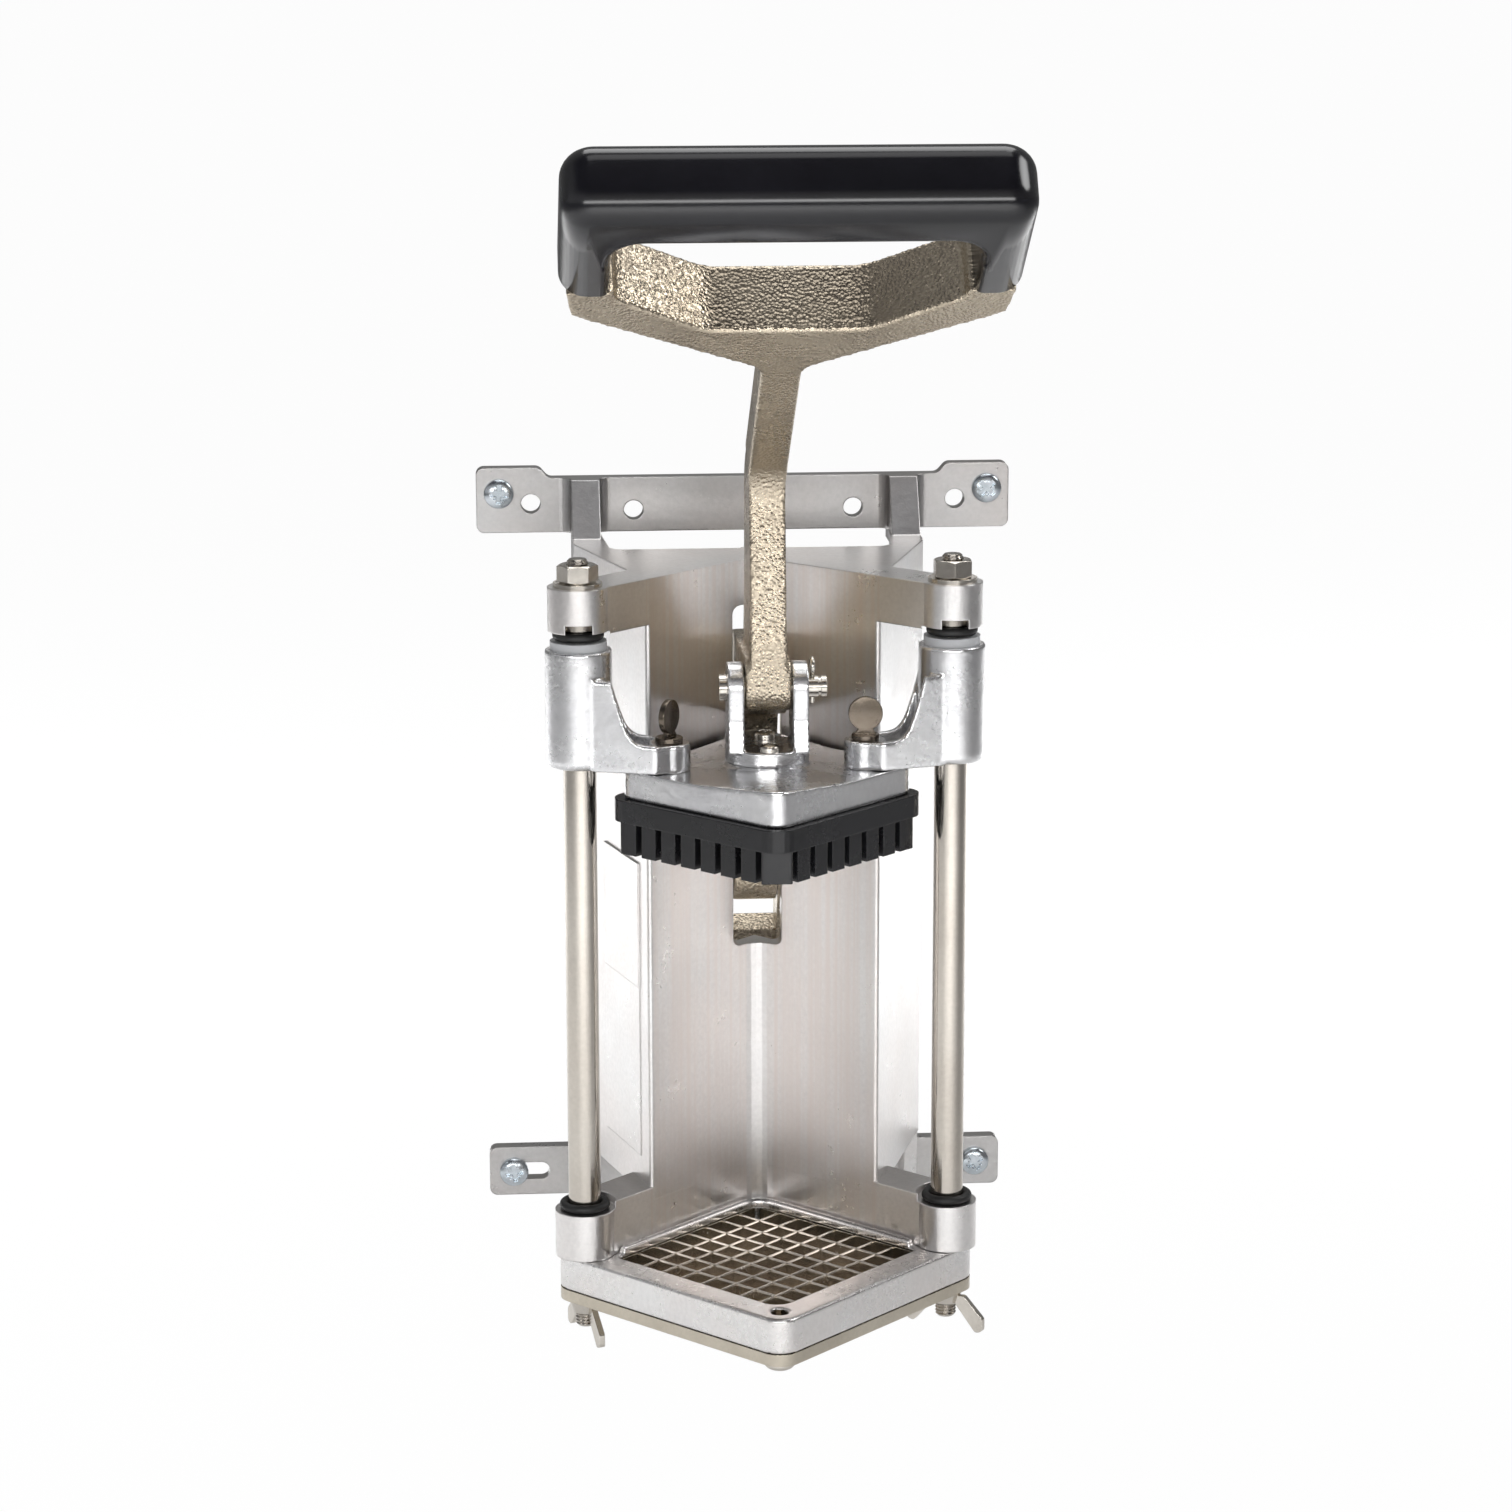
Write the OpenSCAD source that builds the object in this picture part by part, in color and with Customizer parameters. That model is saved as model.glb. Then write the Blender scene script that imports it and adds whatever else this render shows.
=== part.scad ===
// Wall-mounted french fry cutter, lever up and pusher at the top of its travel.
// X runs to the right, Y towards the wall, Z up. The modules are drawn about the pusher's own
// axis, with Z zero on the base plate's upper face, and at_wall() moves them to the part's
// origin: the wall plane, midway between the two outer bolt holes of the top bar.

/* [Cut] */
// Side of one fry, the pitch of the blades
fry = 9.525; // [8.5:0.025:10]
// Fries along each side of the grid
rows = 8; // [7:1:9]
// Thickness of one blade
blade_t = 0.9; // [0.6:0.1:1.2]
// Height of one blade
blade_h = 12; // [9:0.5:12]
// Free play between the grid and the edge of the base plate's opening
grid_margin = 0.8; // [0.6:0.1:1.2]

/* [Frame] */
// Height of the frame casting above the base plate
frame_h = 252; // [240:2:290]
// Wall of the V channel
wall_t = 5.5; // [4:0.5:6.5]
// Thickness of the side flanges
flange_t = 5; // [4:0.5:6]
// Thickness of the top plate and the lower shelf
shelf_t = 5; // [4:0.5:6]
// Distance from the pusher's axis to the wall
reach = 130; // [128:1:145]
// Outer width across the side flanges
frame_w = 133.6; // [128:0.8:140]
// Length of the top wall bar
bar_len = 206.6; // [200:1:230]
// Height of the wall bars
bar_h = 21.2; // [19:0.2:24]
// Thickness of the wall bars
bar_t = 6; // [4:0.5:8]
// Distance between the two outer wall bolts
bolt_outer = 164.6; // [162:0.2:168]
// Distance between the two inner wall bolts
bolt_inner = 85.2; // [70:0.2:90]
// Bore of the wall bolt holes
bolt_d = 7.5; // [5:0.25:8.5]
// Width of the slot that the lever works through
slot_w = 18.2; // [18:0.2:20]

/* [Base] */
// Thickness of the base plate
base_t = 13.4; // [13.2:0.1:18]
// Thickness of the blade holder's plate
holder_t = 4.4; // [3:0.2:7]
// Width of the base plate in front of the opening
front_border = 12.1; // [11:0.1:14]
// Width of the base plate behind the opening
back_border = 23.4; // [22:0.2:26]
// Height of the rim round the back of the opening
rim_h = 3; // [2:0.2:4.5]

/* [Guide rods] */
// Diameter of the guide rods
rod_d = 12; // [10:0.5:13]
// Diameter of the threaded ends
stud_d = 8; // [6:0.5:8.5]
// Diameter of the bosses that hold the rods
boss_d = 22; // [21:0.5:23]
// Cord thickness of the rubber rings
ring_d = 3.3; // [2.4:0.1:3.6]

/* [Pusher] */
// Outer diameter of the sliding sleeves
sleeve_d = 24.2; // [23:0.2:25]
// Length of the sliding sleeves
sleeve_h = 43.2; // [38:0.4:50]
// Thickness of the pusher plate
plate_t = 10.4; // [8:0.2:12]
// Thickness of the block's flange
block_t = 8.1; // [6:0.1:9]
// Length of the block's teeth
tooth_h = 12.8; // [11:0.2:12.8]
// Width of the gaps between the teeth
tooth_gap = 2.8; // [2.4:0.1:3.4]

/* [Lever] */
// Angle that the upper lever leans forward
lean = 55; // [45:1:60]
// Length of the upper lever, from its bend to the yoke's ends
upper_len = 137; // [120:1:150]
// Thickness of the upper stem, front to back
stem_depth = 17.4; // [14:0.2:20]
// Width of the stem
stem_w = 13; // [11:0.2:15]
// Diameter of the clevis pin
pivot_d = 8; // [6:0.5:9]
// Diameter of the fulcrum pin
fulcrum_d = 10; // [8:0.5:12]
// Diameter of the link pin
link_pin_d = 8; // [6:0.5:10]

/* [Grip] */
// Overall width of the grip
grip_w = 151; // [145:1:170]
// Thickness of the grip along the lever
grip_h = 22; // [20:0.5:26]
// Depth of the grip, front to back
grip_depth = 27.5; // [25:0.5:32]
// Length of the grip's side legs
leg_len = 32; // [26:1:40]

/* [Hidden] */
$fn = 48;

// Colours, as seen
cast_aluminium = [0.80, 0.80, 0.79];
bright_steel = [0.74, 0.73, 0.71];
nickel = [0.68, 0.64, 0.57];
zinc = [0.72, 0.76, 0.79];
black_rubber = [0.05, 0.05, 0.05];
black_plastic = [0.07, 0.07, 0.08];
gloss_black = [0.02, 0.02, 0.025];
pale_nylon = [0.78, 0.79, 0.80];

// Shared clearances
fit_gap = 0.05;      // running or push fit, on the radius
seam = 0.3;          // gap left between two castings, or a stop and what it stops
side_gap = 0.4;      // side play of a link or boss between its ears
overrun = 1;         // how far a cut runs past the face it opens
round2 = sqrt(2);    // a square's diagonal over its side

// Plan of the opening, the V channel and the base plate, all square to the diagonals
grid = fry * rows;
half_open = grid / 2 + grid_margin;
rim_w = 3.1;
rim_out = half_open + rim_w;
v_in = rim_out + seam;
v_out = v_in + wall_t;
corner_r = 7;                     // rounding of the opening's front and back corners
v_corner_r = 8;                   // rounding inside the V
front_side = half_open + front_border;
back_side = half_open + back_border;
plate_r = 8;
plate_mid_y = (back_side - front_side) / round2;
plate_corner_x = (back_side + front_side) / round2;
rod_inset = 12.6;
rod_forward = 2;
rod_x = plate_corner_x - rod_inset;
rod_y = plate_mid_y - rod_forward;
rod_along = (rod_x - rod_y) / round2;       // the rod's place along a channel wall
band_w = 17.7;                              // width of the bands that reach out to the bosses
v_along = 17.8;                             // the same for a channel wall's front edge
v_end = [v_in + v_along, v_in - v_along] / round2;

// Side flange: from the channel's edge back to the wall
flange_x = frame_w / 2;
flange_slope = 3.156;
flange_back = [flange_x, v_end[1] + (flange_x - v_end[0]) * flange_slope];
flange_dir = (flange_back - v_end) / norm(flange_back - v_end);
flange_in = [-flange_dir[1], flange_dir[0]];                // from the outer face inwards
flange_turn_r = 12;

// Heights of the frame
upper_boss_h = 16;
lower_boss_h = 17.5;
upper_band_h = 17;
lower_band_h = 20.5;
shoulder_in = 11;                  // how far a rod enters the upper boss
notch_w = 9.7;
notch_h = 3.3;
bar_under = 0.6;
bar_low = frame_h - bar_under;
bar_r = 3;
bolt_up = 11.2;                    // outer bolts above the top bar's lower edge
bolt_z = bar_low + bolt_up;
inner_drop = 2.9;
bar_high = bar_low + bar_h;
tab_rise = 4.1;
tab_from = 79;
tab_slope = 3.5;
post_in = 56;
post_front = 100;
post_fillet = 4.5;
post_step = 7;
recess_y = 80;
recess_r = 6;
low_bar_len = 205;
low_bar_z = -17.9;
low_bar_h = 19.8;
low_slot_h = 7;
low_slot_w = 19.1;
low_slot_x = 87.95;
foot_front = flange_back[1] + flange_turn_r / 3;
foot_rake = 4;

// Wall screws
screw_d = 5;
screw_hole_d = 5.6;
screw_head_d = 11.5;
screw_head_h = 3.8;
screw_in_wall = 24;
screw_tip = 6;
top_screw_x = 94.6;
top_screw_up = 4.2;
low_screw_x = 92.8;

// Rest heights of the pusher, from the upper bosses down
ring_seat = frame_h - upper_boss_h;
bush_top = ring_seat - ring_d - side_gap;
bush_flange_t = 3.1;
sleeve_top = bush_top - bush_flange_t;
sleeve_low = sleeve_top - sleeve_h;
seat_z = sleeve_low - 4 * fit_gap;
plate_low = seat_z - plate_t;
block_low = plate_low - block_t;
teeth_low = block_low - tooth_h;
ridge_rise = 2.8;
ridge_z = seat_z + ridge_rise;
clevis_base_t = 5.4;
clevis_rise = 21.2;
clevis_top = ridge_z + clevis_base_t;
pivot_z = clevis_top + clevis_rise;
travel = block_low - rim_h - seam;

// Corner radii and small offsets of the lever, the wing nuts and the pins
stem_swell = 1.5;
back_knee = 26;
back_foot_up = 34;
arm_elbow_z = 8;
arm_inner_z = -22;
yoke_flare = 1.7;
yoke_floor_flare = 1.5;
yoke_neck_r = 8;
yoke_side_r = 5;
yoke_shoulder_r = 3;
yoke_floor_r = 14;
yoke_bend_r = 12;
yoke_bend_high = 10;
wing_tip_r = 2;
wing_root_r = 1.5;
link_pin_head = 2.5;

// Blank pads on the left flange: their rise, start, width, and heights as shares of the frame
pad_rise = 0.7;
pad_from = 10;
pad_w = 37;
pad_low_share = 0.12;
pad_split_share = 0.38;
pad_high_share = 0.57;

// How far the loose parts are turned
wing_nut_turned = [-70, -35];
thumb_screw_turned = [60, 0];
top_screw_turned = 20;
low_screw_turned = 35;

// Pusher in plan
plate_gap = 0.6;
plate_half = half_open - plate_gap;
plate_round = 6;
block_gap = 0.9;
block_half = v_in - block_gap;
teeth_gap = 1.1;
teeth_half = half_open - teeth_gap;
tooth_corner_cut = 5;
bush_wall = 2;
bush_len = 12;
bush_flange_w = 2.25;
sleeve_round = 3;
ear_r = 7.7;
ear_h = 10.2;
ear_in = 18.7;                     // from the plate's side corner in to the thumb screw
ear_x = plate_half * round2 - ear_in;
ear_y = -2;
arm_floor_t = 5;
arm_web_t = 3.5;
arm_tip = [5.5, -10.2];
arm_rise = 33.3;

// Thumb screws
thumb_d = 5;
thumb_depth = 7;
thumb_collar_d = 10;
thumb_collar_h = 2;
spade_d = 12;
spade_t = 2.2;

// Clevis, round the lever's boss
eye_w = 16.5;
clevis_base_d = 30.4;
clevis_ear_t = 5.85;
clevis_ear_r = 9.4;
clevis_in = eye_w / 2 + side_gap;
clevis_out = clevis_in + clevis_ear_t;
clevis_foot = 12;
base_screw_y = 10.9;
base_screw_d = 4;
base_screw_head_d = 7.6;
base_screw_head_h = 3;
pin_head_t = 2.9;
pin_head_d = 9.6;
pin_tail = 6.9;
cotter_d = 1.8;
cotter_from_ear = 1.8;
cotter_loop_r = 2.6;

// Lever, measured from the clevis pin
boss_r = 8.5;
eye_r = 13.8;
eye_back = 71;
eye_drop = 1.7;                    // the eye's rest height under half the travel
eye_rise = -travel / 2 - eye_drop;
bend = [-2, 76];                   // front of the bend between the lower and the upper stem
yoke_depth = 25;
yoke_half = 71.5;
yoke_rise = 38.5;
yoke_height = 53.7;
yoke_low = upper_len - yoke_height;
yoke_opening = 26.5;
yoke_floor = upper_len - yoke_opening;
yoke_floor_half = 26.5;
yoke_inner_half = 56.5;
yoke_shoulder_h = 5.3;
yoke_shoulder = upper_len - yoke_shoulder_h;
core_t = 8.5;
core_depth = 13;
core_in = 6.5;

// Grip
grip_proud = 1;
grip_round = 8;
grip_leg_w = 16.4;
grip_fillet = 11;
grip_top = upper_len + leg_len + grip_h;

// Swing link behind the channel, from the fulcrum down to the link pin
link_back = 19.4;
link_drop = 55.2;
link_len = norm([link_back, link_drop]);
link_tilt = atan2(link_back, link_drop);
link_in = eye_w / 2 + side_gap;
link_t = 5;
link_out = link_in + link_t;
link_r = 10.5;
link_waist = 7.5;
link_throat = 27;
link_web_top = link_len - link_throat;
link_web_t = 11;
lug_in = link_out + side_gap;
lug_t = 5;
lug_r = 11;
lug_foot_up = 24;

fulcrum = [eye_back, pivot_z + eye_rise];
link_pin_at = fulcrum + [link_back, -link_drop];
slot_below = 27.5;
slot_low = fulcrum[1] - slot_below;
slot_top = frame_h - upper_band_h;
slot_r = 3;

// Fasteners under the base
wing_hub_d = 13;
wing_hub_h = 4.9;
wing_t = 2.2;
wing_r = 16;
wing_drop = 15;
stud_below = 10.4;
front_hole_in = 12.3;
front_hole_d = 6;
front_hole_y = front_hole_in - front_side * round2;
front_screw_d = 5.8;
front_screw_head_d = 11;
front_screw_head_h = 4.2;
front_screw_top = -4;

// Blade holder and blades
lip_t = 1;
lip_gap = 0.3;
wall_strip_t = 3.8;
strip_half = half_open - 2 * plate_gap;
pocket_half = half_open + wall_strip_t + lip_gap;
holder_open = half_open - plate_gap;
blade_top = -lip_t - lip_gap;
lap_gap = 0.2;
blade_slot = blade_t + lap_gap;
blade_slot_depth = 3.1;
blade_half = half_open + blade_slot_depth - lap_gap;
edge_h = 2;
edge_t = blade_t / 5;

// Rod hardware
nut_across = 13;
nut_h = 6.5;
washer_d = 17.8;
washer_t = 1.5;
stud_above = 10;

// Points along the arc that rounds the corner b between a and c
function unit(v) = v / norm(v);
function turn(v, w) = (atan2(w[1], w[0]) - atan2(v[1], v[0]) + 540) % 360 - 180;
function corner_arc(a, b, c, r, steps) =
    let (
        u = unit(a - b),
        w = unit(c - b),
        half = acos(u * w) / 2,
        centre = b + unit(u + w) * (r / sin(half)),
        from = b + u * (r / tan(half)) - centre,
        to = b + w * (r / tan(half)) - centre,
        sweep = turn(from, to),
        start = atan2(from[1], from[0])
    )
    [for (i = [0:steps]) centre + r * [cos(start + sweep * i / steps), sin(start + sweep * i / steps)]];

// An outline whose corners are rounded, each by its own radius
function rounded(points, radii, steps = 6) =
    let (n = len(points))
    [for (i = [0:n - 1])
        each radii[i] == 0
            ? [points[i]]
            : corner_arc(points[(i + n - 1) % n], points[i], points[(i + 1) % n], radii[i], steps)];

// The left half of an outline, and of its radii, in the order that closes the right half
function mirrored(points) = [for (i = [len(points) - 1:-1:0]) [-points[i][0], points[i][1]]];
function reversed(list) = [for (i = [len(list) - 1:-1:0]) list[i]];
function both(first, right, last) = concat([first], right, [last], mirrored(right));
function both_radii(first, right, last) = concat([first], right, [last], reversed(right));
function square_points(half) = [[-half, -half], [half, -half], [half, half], [-half, half]];

module at_wall() {
    translate([0, -reach, -bolt_z]) children();
}

module both_sides() {
    children();
    mirror([1, 0, 0]) children();
}

// Flat outline drawn in X and Z, made solid from y0 to y1
module upright(y0, y1) {
    translate([0, y1, 0]) rotate([90, 0, 0]) linear_extrude(y1 - y0) children();
}

// Flat outline drawn in Y and Z, made solid from x0 to x1
module sideways(x0, x1) {
    translate([x0, 0, 0]) rotate([90, 0, 90]) linear_extrude(x1 - x0) children();
}

// A square turned to stand on its corner, with rounded corners
module diamond(half, r, z0, z1) {
    translate([0, 0, z0]) linear_extrude(z1 - z0)
        rotate(45) polygon(rounded(square_points(half), [r, r, r, r]));
}

module along_x(d, x0, x1) {
    translate([x0, 0, 0]) rotate([0, 90, 0]) cylinder(d = d, h = x1 - x0);
}

module along_y(d, y0, y1) {
    translate([0, y0, 0]) rotate([-90, 0, 0]) cylinder(d = d, h = y1 - y0);
}

module at_rod(side = 1) {
    translate([side * rod_x, rod_y, 0]) children();
}

// Frame casting

// The channel walls run on as narrow bands to the rod bosses, a hair behind the channel's face
module band(z0, z1, width) {
    face = v_in + fit_gap;
    end_front = [face + rod_along, face - rod_along] / round2;
    end_back = end_front + [width, width] / round2;
    right = [end_front, end_back];
    points = both([0, face * round2], right, [0, (face + width) * round2]);
    translate([0, 0, z0]) linear_extrude(z1 - z0)
        polygon(rounded(points, both_radii(v_corner_r, [0, 0], 0)));
}

function flange_inner(along) = v_end + flange_in * flange_t + flange_dir * along;

// Channel and flanges as one bent sheet
module walls(z0, z1) {
    inner_nose = ((v_out * round2) - flange_inner(0)[0] - flange_inner(0)[1]) / (flange_dir[0] + flange_dir[1]);
    inner_turn = (flange_x - flange_t - flange_inner(0)[0]) / flange_dir[0];
    right = [
        v_end, flange_back, [flange_x, reach], [flange_x - flange_t, reach],
        flange_inner(inner_turn), flange_inner(inner_nose)
    ];
    radii = [flange_t / 4, flange_turn_r, 0, 0, flange_turn_r - flange_t, flange_t / 2];
    points = both([0, v_in * round2], right, [0, v_out * round2]);
    translate([0, 0, z0]) linear_extrude(z1 - z0)
        polygon(rounded(points, both_radii(v_corner_r, radii, 0)));
}

// The plate's outline runs inside the walls' thickness
module top_plate() {
    band(frame_h - shelf_t, frame_h, band_w);
    half_t = flange_t / 2;
    right = [
        v_end + flange_dir * flange_t + flange_in * half_t, flange_back + flange_in * half_t,
        [flange_x - half_t, reach], [post_in + overrun, reach], [post_in - recess_r / 2, recess_y]
    ];
    radii = [0, flange_turn_r, 0, 0, recess_r];
    points = both([0, (v_in + wall_t / 2) * round2], right, [0, recess_y]);
    translate([0, 0, frame_h - shelf_t]) linear_extrude(shelf_t)
        polygon(rounded(points, both_radii(v_corner_r, radii, 0)));
}

module top_bar() {
    half = bar_len / 2;
    right = [
        [tab_from - tab_slope, bar_high], [tab_from, bar_high + tab_rise], [half, bar_high + tab_rise],
        [half, bar_low]
    ];
    radii = [tab_slope, tab_slope, bar_r, bar_r];
    points = both([0, bar_high], right, [0, bar_low]);
    upright(reach - bar_t, reach) polygon(rounded(points, both_radii(0, radii, 0)));
}

// Upright posts that carry the top bar
module post() {
    points = [
        [post_front, frame_h - shelf_t], [reach, frame_h - shelf_t], [reach, bar_high],
        [reach - bar_t - post_step, bar_high]
    ];
    sideways(post_in, flange_x) polygon(points);
    for (side = [-1, 1])
        post_fillet_block(side < 0 ? post_in : flange_x, side);
}

// Concave fillet between a post's side and the front of the bar
module post_fillet_block(x, side) {
    y = reach - bar_t - post_fillet;
    arc = [for (i = [0:6]) [post_fillet * (1 - cos(i * 15)), post_fillet * sin(i * 15)]];
    points = concat([[-overrun, 0]], arc, [[post_fillet, post_fillet + overrun], [-overrun, post_fillet + overrun]]);
    translate([x, y, bar_low]) linear_extrude(bar_h) polygon([for (p = points) [side * p[0], p[1]]]);
}

// The flanges' feet run down past the base plate to the lower bar
module foot() {
    sideways(flange_x - flange_t, flange_x)
        polygon([[foot_front + foot_rake, low_bar_z], [reach, low_bar_z], [reach, lower_band_h + bar_h],
            [foot_front, lower_band_h + bar_h], [foot_front, lower_band_h - shelf_t]]);
}

module low_bar() {
    half = low_bar_len / 2;
    points = [
        [-half, low_bar_z], [half, low_bar_z], [half, low_bar_z + low_bar_h], [-half, low_bar_z + low_bar_h]
    ];
    upright(reach - bar_t, reach) polygon(rounded(points, [bar_r, bar_r, bar_r, bar_r]));
}

// Lugs behind the channel that hold the link pin
module link_lug() {
    front = v_in * round2 - lug_in + fit_gap;
    up = link_pin_at[1] + lug_foot_up;
    down = link_pin_at[1] - lug_foot_up;
    sideways(lug_in, lug_in + lug_t)
        polygon([[front, down], [link_pin_at[0], link_pin_at[1] - lug_r + fit_gap],
            [link_pin_at[0], link_pin_at[1] + lug_r - fit_gap], [front, up]]);
    translate([0, link_pin_at[0], link_pin_at[1]]) along_x(2 * lug_r, lug_in, lug_in + lug_t);
}

// Raised blank pads on the left flange
module flange_pads() {
    angle = atan2(flange_dir[1], flange_dir[0]);
    spans = [[pad_low_share, pad_split_share, pad_rise / 2], [pad_split_share, pad_high_share, pad_rise]];
    for (span = spans)
        mirror([1, 0, 0]) translate([v_end[0], v_end[1], 0]) rotate(angle)
            translate([pad_from, -span[2], frame_h * span[0]])
                cube([pad_w, 2 * span[2], frame_h * (span[1] - span[0])]);
}

module low_slot() {
    half = low_slot_w / 2;
    r = low_slot_h / 2;
    z = low_bar_z + low_bar_h / 2;
    points = [[-half, z - r], [half, z - r], [half, z + r], [-half, z + r]];
    translate([low_slot_x, 0, 0]) upright(reach - bar_t - overrun, reach + overrun)
        polygon(rounded(points, [r, r, r, r] * (1 - fit_gap / r), 8));
}

module bar_hole(x, z, d) {
    translate([x, 0, z]) along_y(d, reach - bar_t - overrun, reach + overrun);
}

// Room for a rubber ring and the sleeve where a band comes level with them
module ring_room(z0, z1) {
    at_rod() translate([0, 0, z0]) cylinder(r = boss_d / 2 + side_gap, h = z1 - z0);
}

module frame_casting() {
    color(cast_aluminium) at_wall() difference() {
        union() {
            walls(lower_band_h - shelf_t, frame_h);
            band(0, lower_band_h, wall_t);
            band(lower_band_h - shelf_t, lower_band_h, band_w);
            band(slot_top, frame_h, wall_t);
            top_plate();
            top_bar();
            low_bar();
            flange_pads();
            both_sides() {
                post();
                foot();
                link_lug();
                at_rod() cylinder(d = boss_d, h = lower_boss_h);
                at_rod() translate([0, 0, ring_seat]) cylinder(d = boss_d, h = upper_boss_h);
            }
        }
        both_sides() {
            at_rod() translate([0, 0, -overrun])
                cylinder(r = rod_d / 2 + fit_gap, h = frame_h - upper_boss_h + shoulder_in + overrun);
            at_rod() cylinder(r = stud_d / 2 + seam, h = frame_h + overrun);
            ring_room(lower_boss_h, lower_band_h + overrun);
            ring_room(slot_top - overrun, ring_seat);
            translate([rod_x - notch_w / 2, rod_y - boss_d / 2 - overrun, ring_seat - overrun])
                cube([notch_w, boss_d / 2 + overrun, notch_h + overrun]);
            bar_hole(bolt_outer / 2, bolt_z, bolt_d);
            bar_hole(bolt_inner / 2, bolt_z - inner_drop, bolt_d);
            bar_hole(top_screw_x, bolt_z + top_screw_up, screw_hole_d);
            low_slot();
        }
        upright(rod_y, v_out * round2 + overrun)
            polygon(rounded([[-slot_w / 2, slot_low], [slot_w / 2, slot_low], [slot_w / 2, slot_top],
                [-slot_w / 2, slot_top]], [slot_r, slot_r, slot_r, slot_r]));
        translate([0, link_pin_at[0], link_pin_at[1]])
            along_x(link_pin_d + 2 * fit_gap, -lug_in - lug_t - overrun, lug_in + lug_t + overrun);
    }
}

// Base plate and blade cartridge

module base_outline(z0, z1) {
    translate([0, plate_mid_y, 0]) diamond((front_side + back_side) / 2, plate_r, z0, z1);
}

// Rounded rim along the two back sides of the opening, a hair back from its edge
module rim() {
    back = fit_gap * 3;
    sunk = lip_t / 2;
    profile = rounded([[back, -sunk], [rim_w, -sunk], [rim_w, rim_h], [back, rim_h]],
        [0, 0, rim_w / 2.5, rim_w / 2.5], 5);
    straight = half_open - corner_r;
    both_sides() rotate(-45) translate([-straight, half_open, 0])
        rotate([90, 0, 90]) linear_extrude(straight + half_open - rim_w) polygon(profile);
    translate([0, straight * round2, 0]) rotate(45)
        rotate_extrude(angle = 90) translate([corner_r, 0]) polygon(profile);
}

module base_plate() {
    sharp = grid_margin;
    color(cast_aluminium) at_wall() {
        difference() {
            base_outline(-base_t, 0);
            translate([0, 0, -base_t - overrun]) linear_extrude(base_t + 2 * overrun)
                rotate(45) polygon(rounded(square_points(half_open), [corner_r, sharp, corner_r, sharp]));
            diamond(pocket_half, sharp, -base_t - overrun, -lip_t);
            for (s = [-1, 1])
                at_rod(s) translate([0, 0, -base_t - overrun])
                    cylinder(r = stud_d / 2 + seam, h = base_t + 2 * overrun);
            translate([0, front_hole_y, -base_t - overrun])
                cylinder(d = front_hole_d, h = base_t + 2 * overrun);
        }
        rim();
    }
}

// One slotted wall of the cartridge, in plan: its inner face carries a slot for each blade
module slotted_wall() {
    last = rows - 2;
    slots = [for (i = [0:last]) let (c = (i - last / 2) * fry)
        each [[c - blade_slot / 2, 0], [c - blade_slot / 2, blade_slot_depth],
            [c + blade_slot / 2, blade_slot_depth], [c + blade_slot / 2, 0]]];
    points = concat([[-strip_half, 0]], slots, [[strip_half, 0], [strip_half, wall_strip_t],
        [-strip_half, wall_strip_t]]);
    translate([0, half_open, -base_t]) linear_extrude(base_t + blade_top) polygon(points);
}

module blade_holder() {
    low = -base_t - holder_t;
    color(nickel) at_wall() difference() {
        union() {
            base_outline(low, -base_t);
            for (quarter = [0:3]) rotate(45 + 90 * quarter) slotted_wall();
        }
        diamond(holder_open, grid_margin, low - overrun, -base_t + overrun);
        for (s = [-1, 1])
            at_rod(s) translate([0, 0, low - overrun])
                cylinder(r = stud_d / 2 + seam, h = holder_t + 2 * overrun);
        translate([0, front_hole_y, low - overrun]) cylinder(d = front_hole_d, h = holder_t + 2 * overrun);
    }
}

// A set of parallel blades, sharpened on top, notched halfway to lap the other set
module blade_set(notch_from, notch_to) {
    last = rows - 2;
    profile = [
        [-blade_t / 2, 0], [blade_t / 2, 0], [blade_t / 2, blade_h - edge_h], [edge_t / 2, blade_h],
        [-edge_t / 2, blade_h], [-blade_t / 2, blade_h - edge_h]
    ];
    notch = blade_t + 2 * lap_gap;
    translate([0, 0, blade_top - blade_h]) difference() {
        for (i = [0:last])
            translate([-blade_half, (i - last / 2) * fry, 0])
                rotate([90, 0, 90]) linear_extrude(2 * blade_half) polygon(profile);
        for (i = [0:last])
            translate([(i - last / 2) * fry - notch / 2, -blade_half, notch_from])
                cube([notch, 2 * blade_half, notch_to - notch_from]);
    }
}

module blades_lower() {
    color(bright_steel) at_wall() rotate(45) blade_set(blade_h / 2 - lap_gap, blade_h + overrun);
}

module blades_upper() {
    color(bright_steel) at_wall() rotate(-45) blade_set(-overrun, blade_h / 2 + lap_gap);
}

// Screw head, domed, with a cross and a slot cut in it: axis up, seat at zero
module domed_head(d, h) {
    rim_share = 0.45;
    recess_share = 0.62;
    blade_share = 0.16;
    shape = concat([[0, 0], [d / 2, 0]],
        [for (i = [0:6]) [d / 2 * cos(i * 15), h * rim_share + h * (1 - rim_share) * sin(i * 15)]]);
    difference() {
        rotate_extrude() polygon(shape);
        for (turned = [0, 90]) rotate(turned)
            translate([-d * recess_share / 2, -d * blade_share / 2, h * (1 - rim_share)])
                cube([d * recess_share, d * blade_share, h]);
    }
}

module holder_screw() {
    low = -base_t - holder_t;
    color(nickel) at_wall() translate([0, front_hole_y, 0]) {
        translate([0, 0, low]) cylinder(d = front_screw_d, h = front_screw_top - low);
        translate([0, 0, low]) mirror([0, 0, 1]) domed_head(front_screw_head_d, front_screw_head_h);
    }
}

// Guide rods and what is on them

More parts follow.
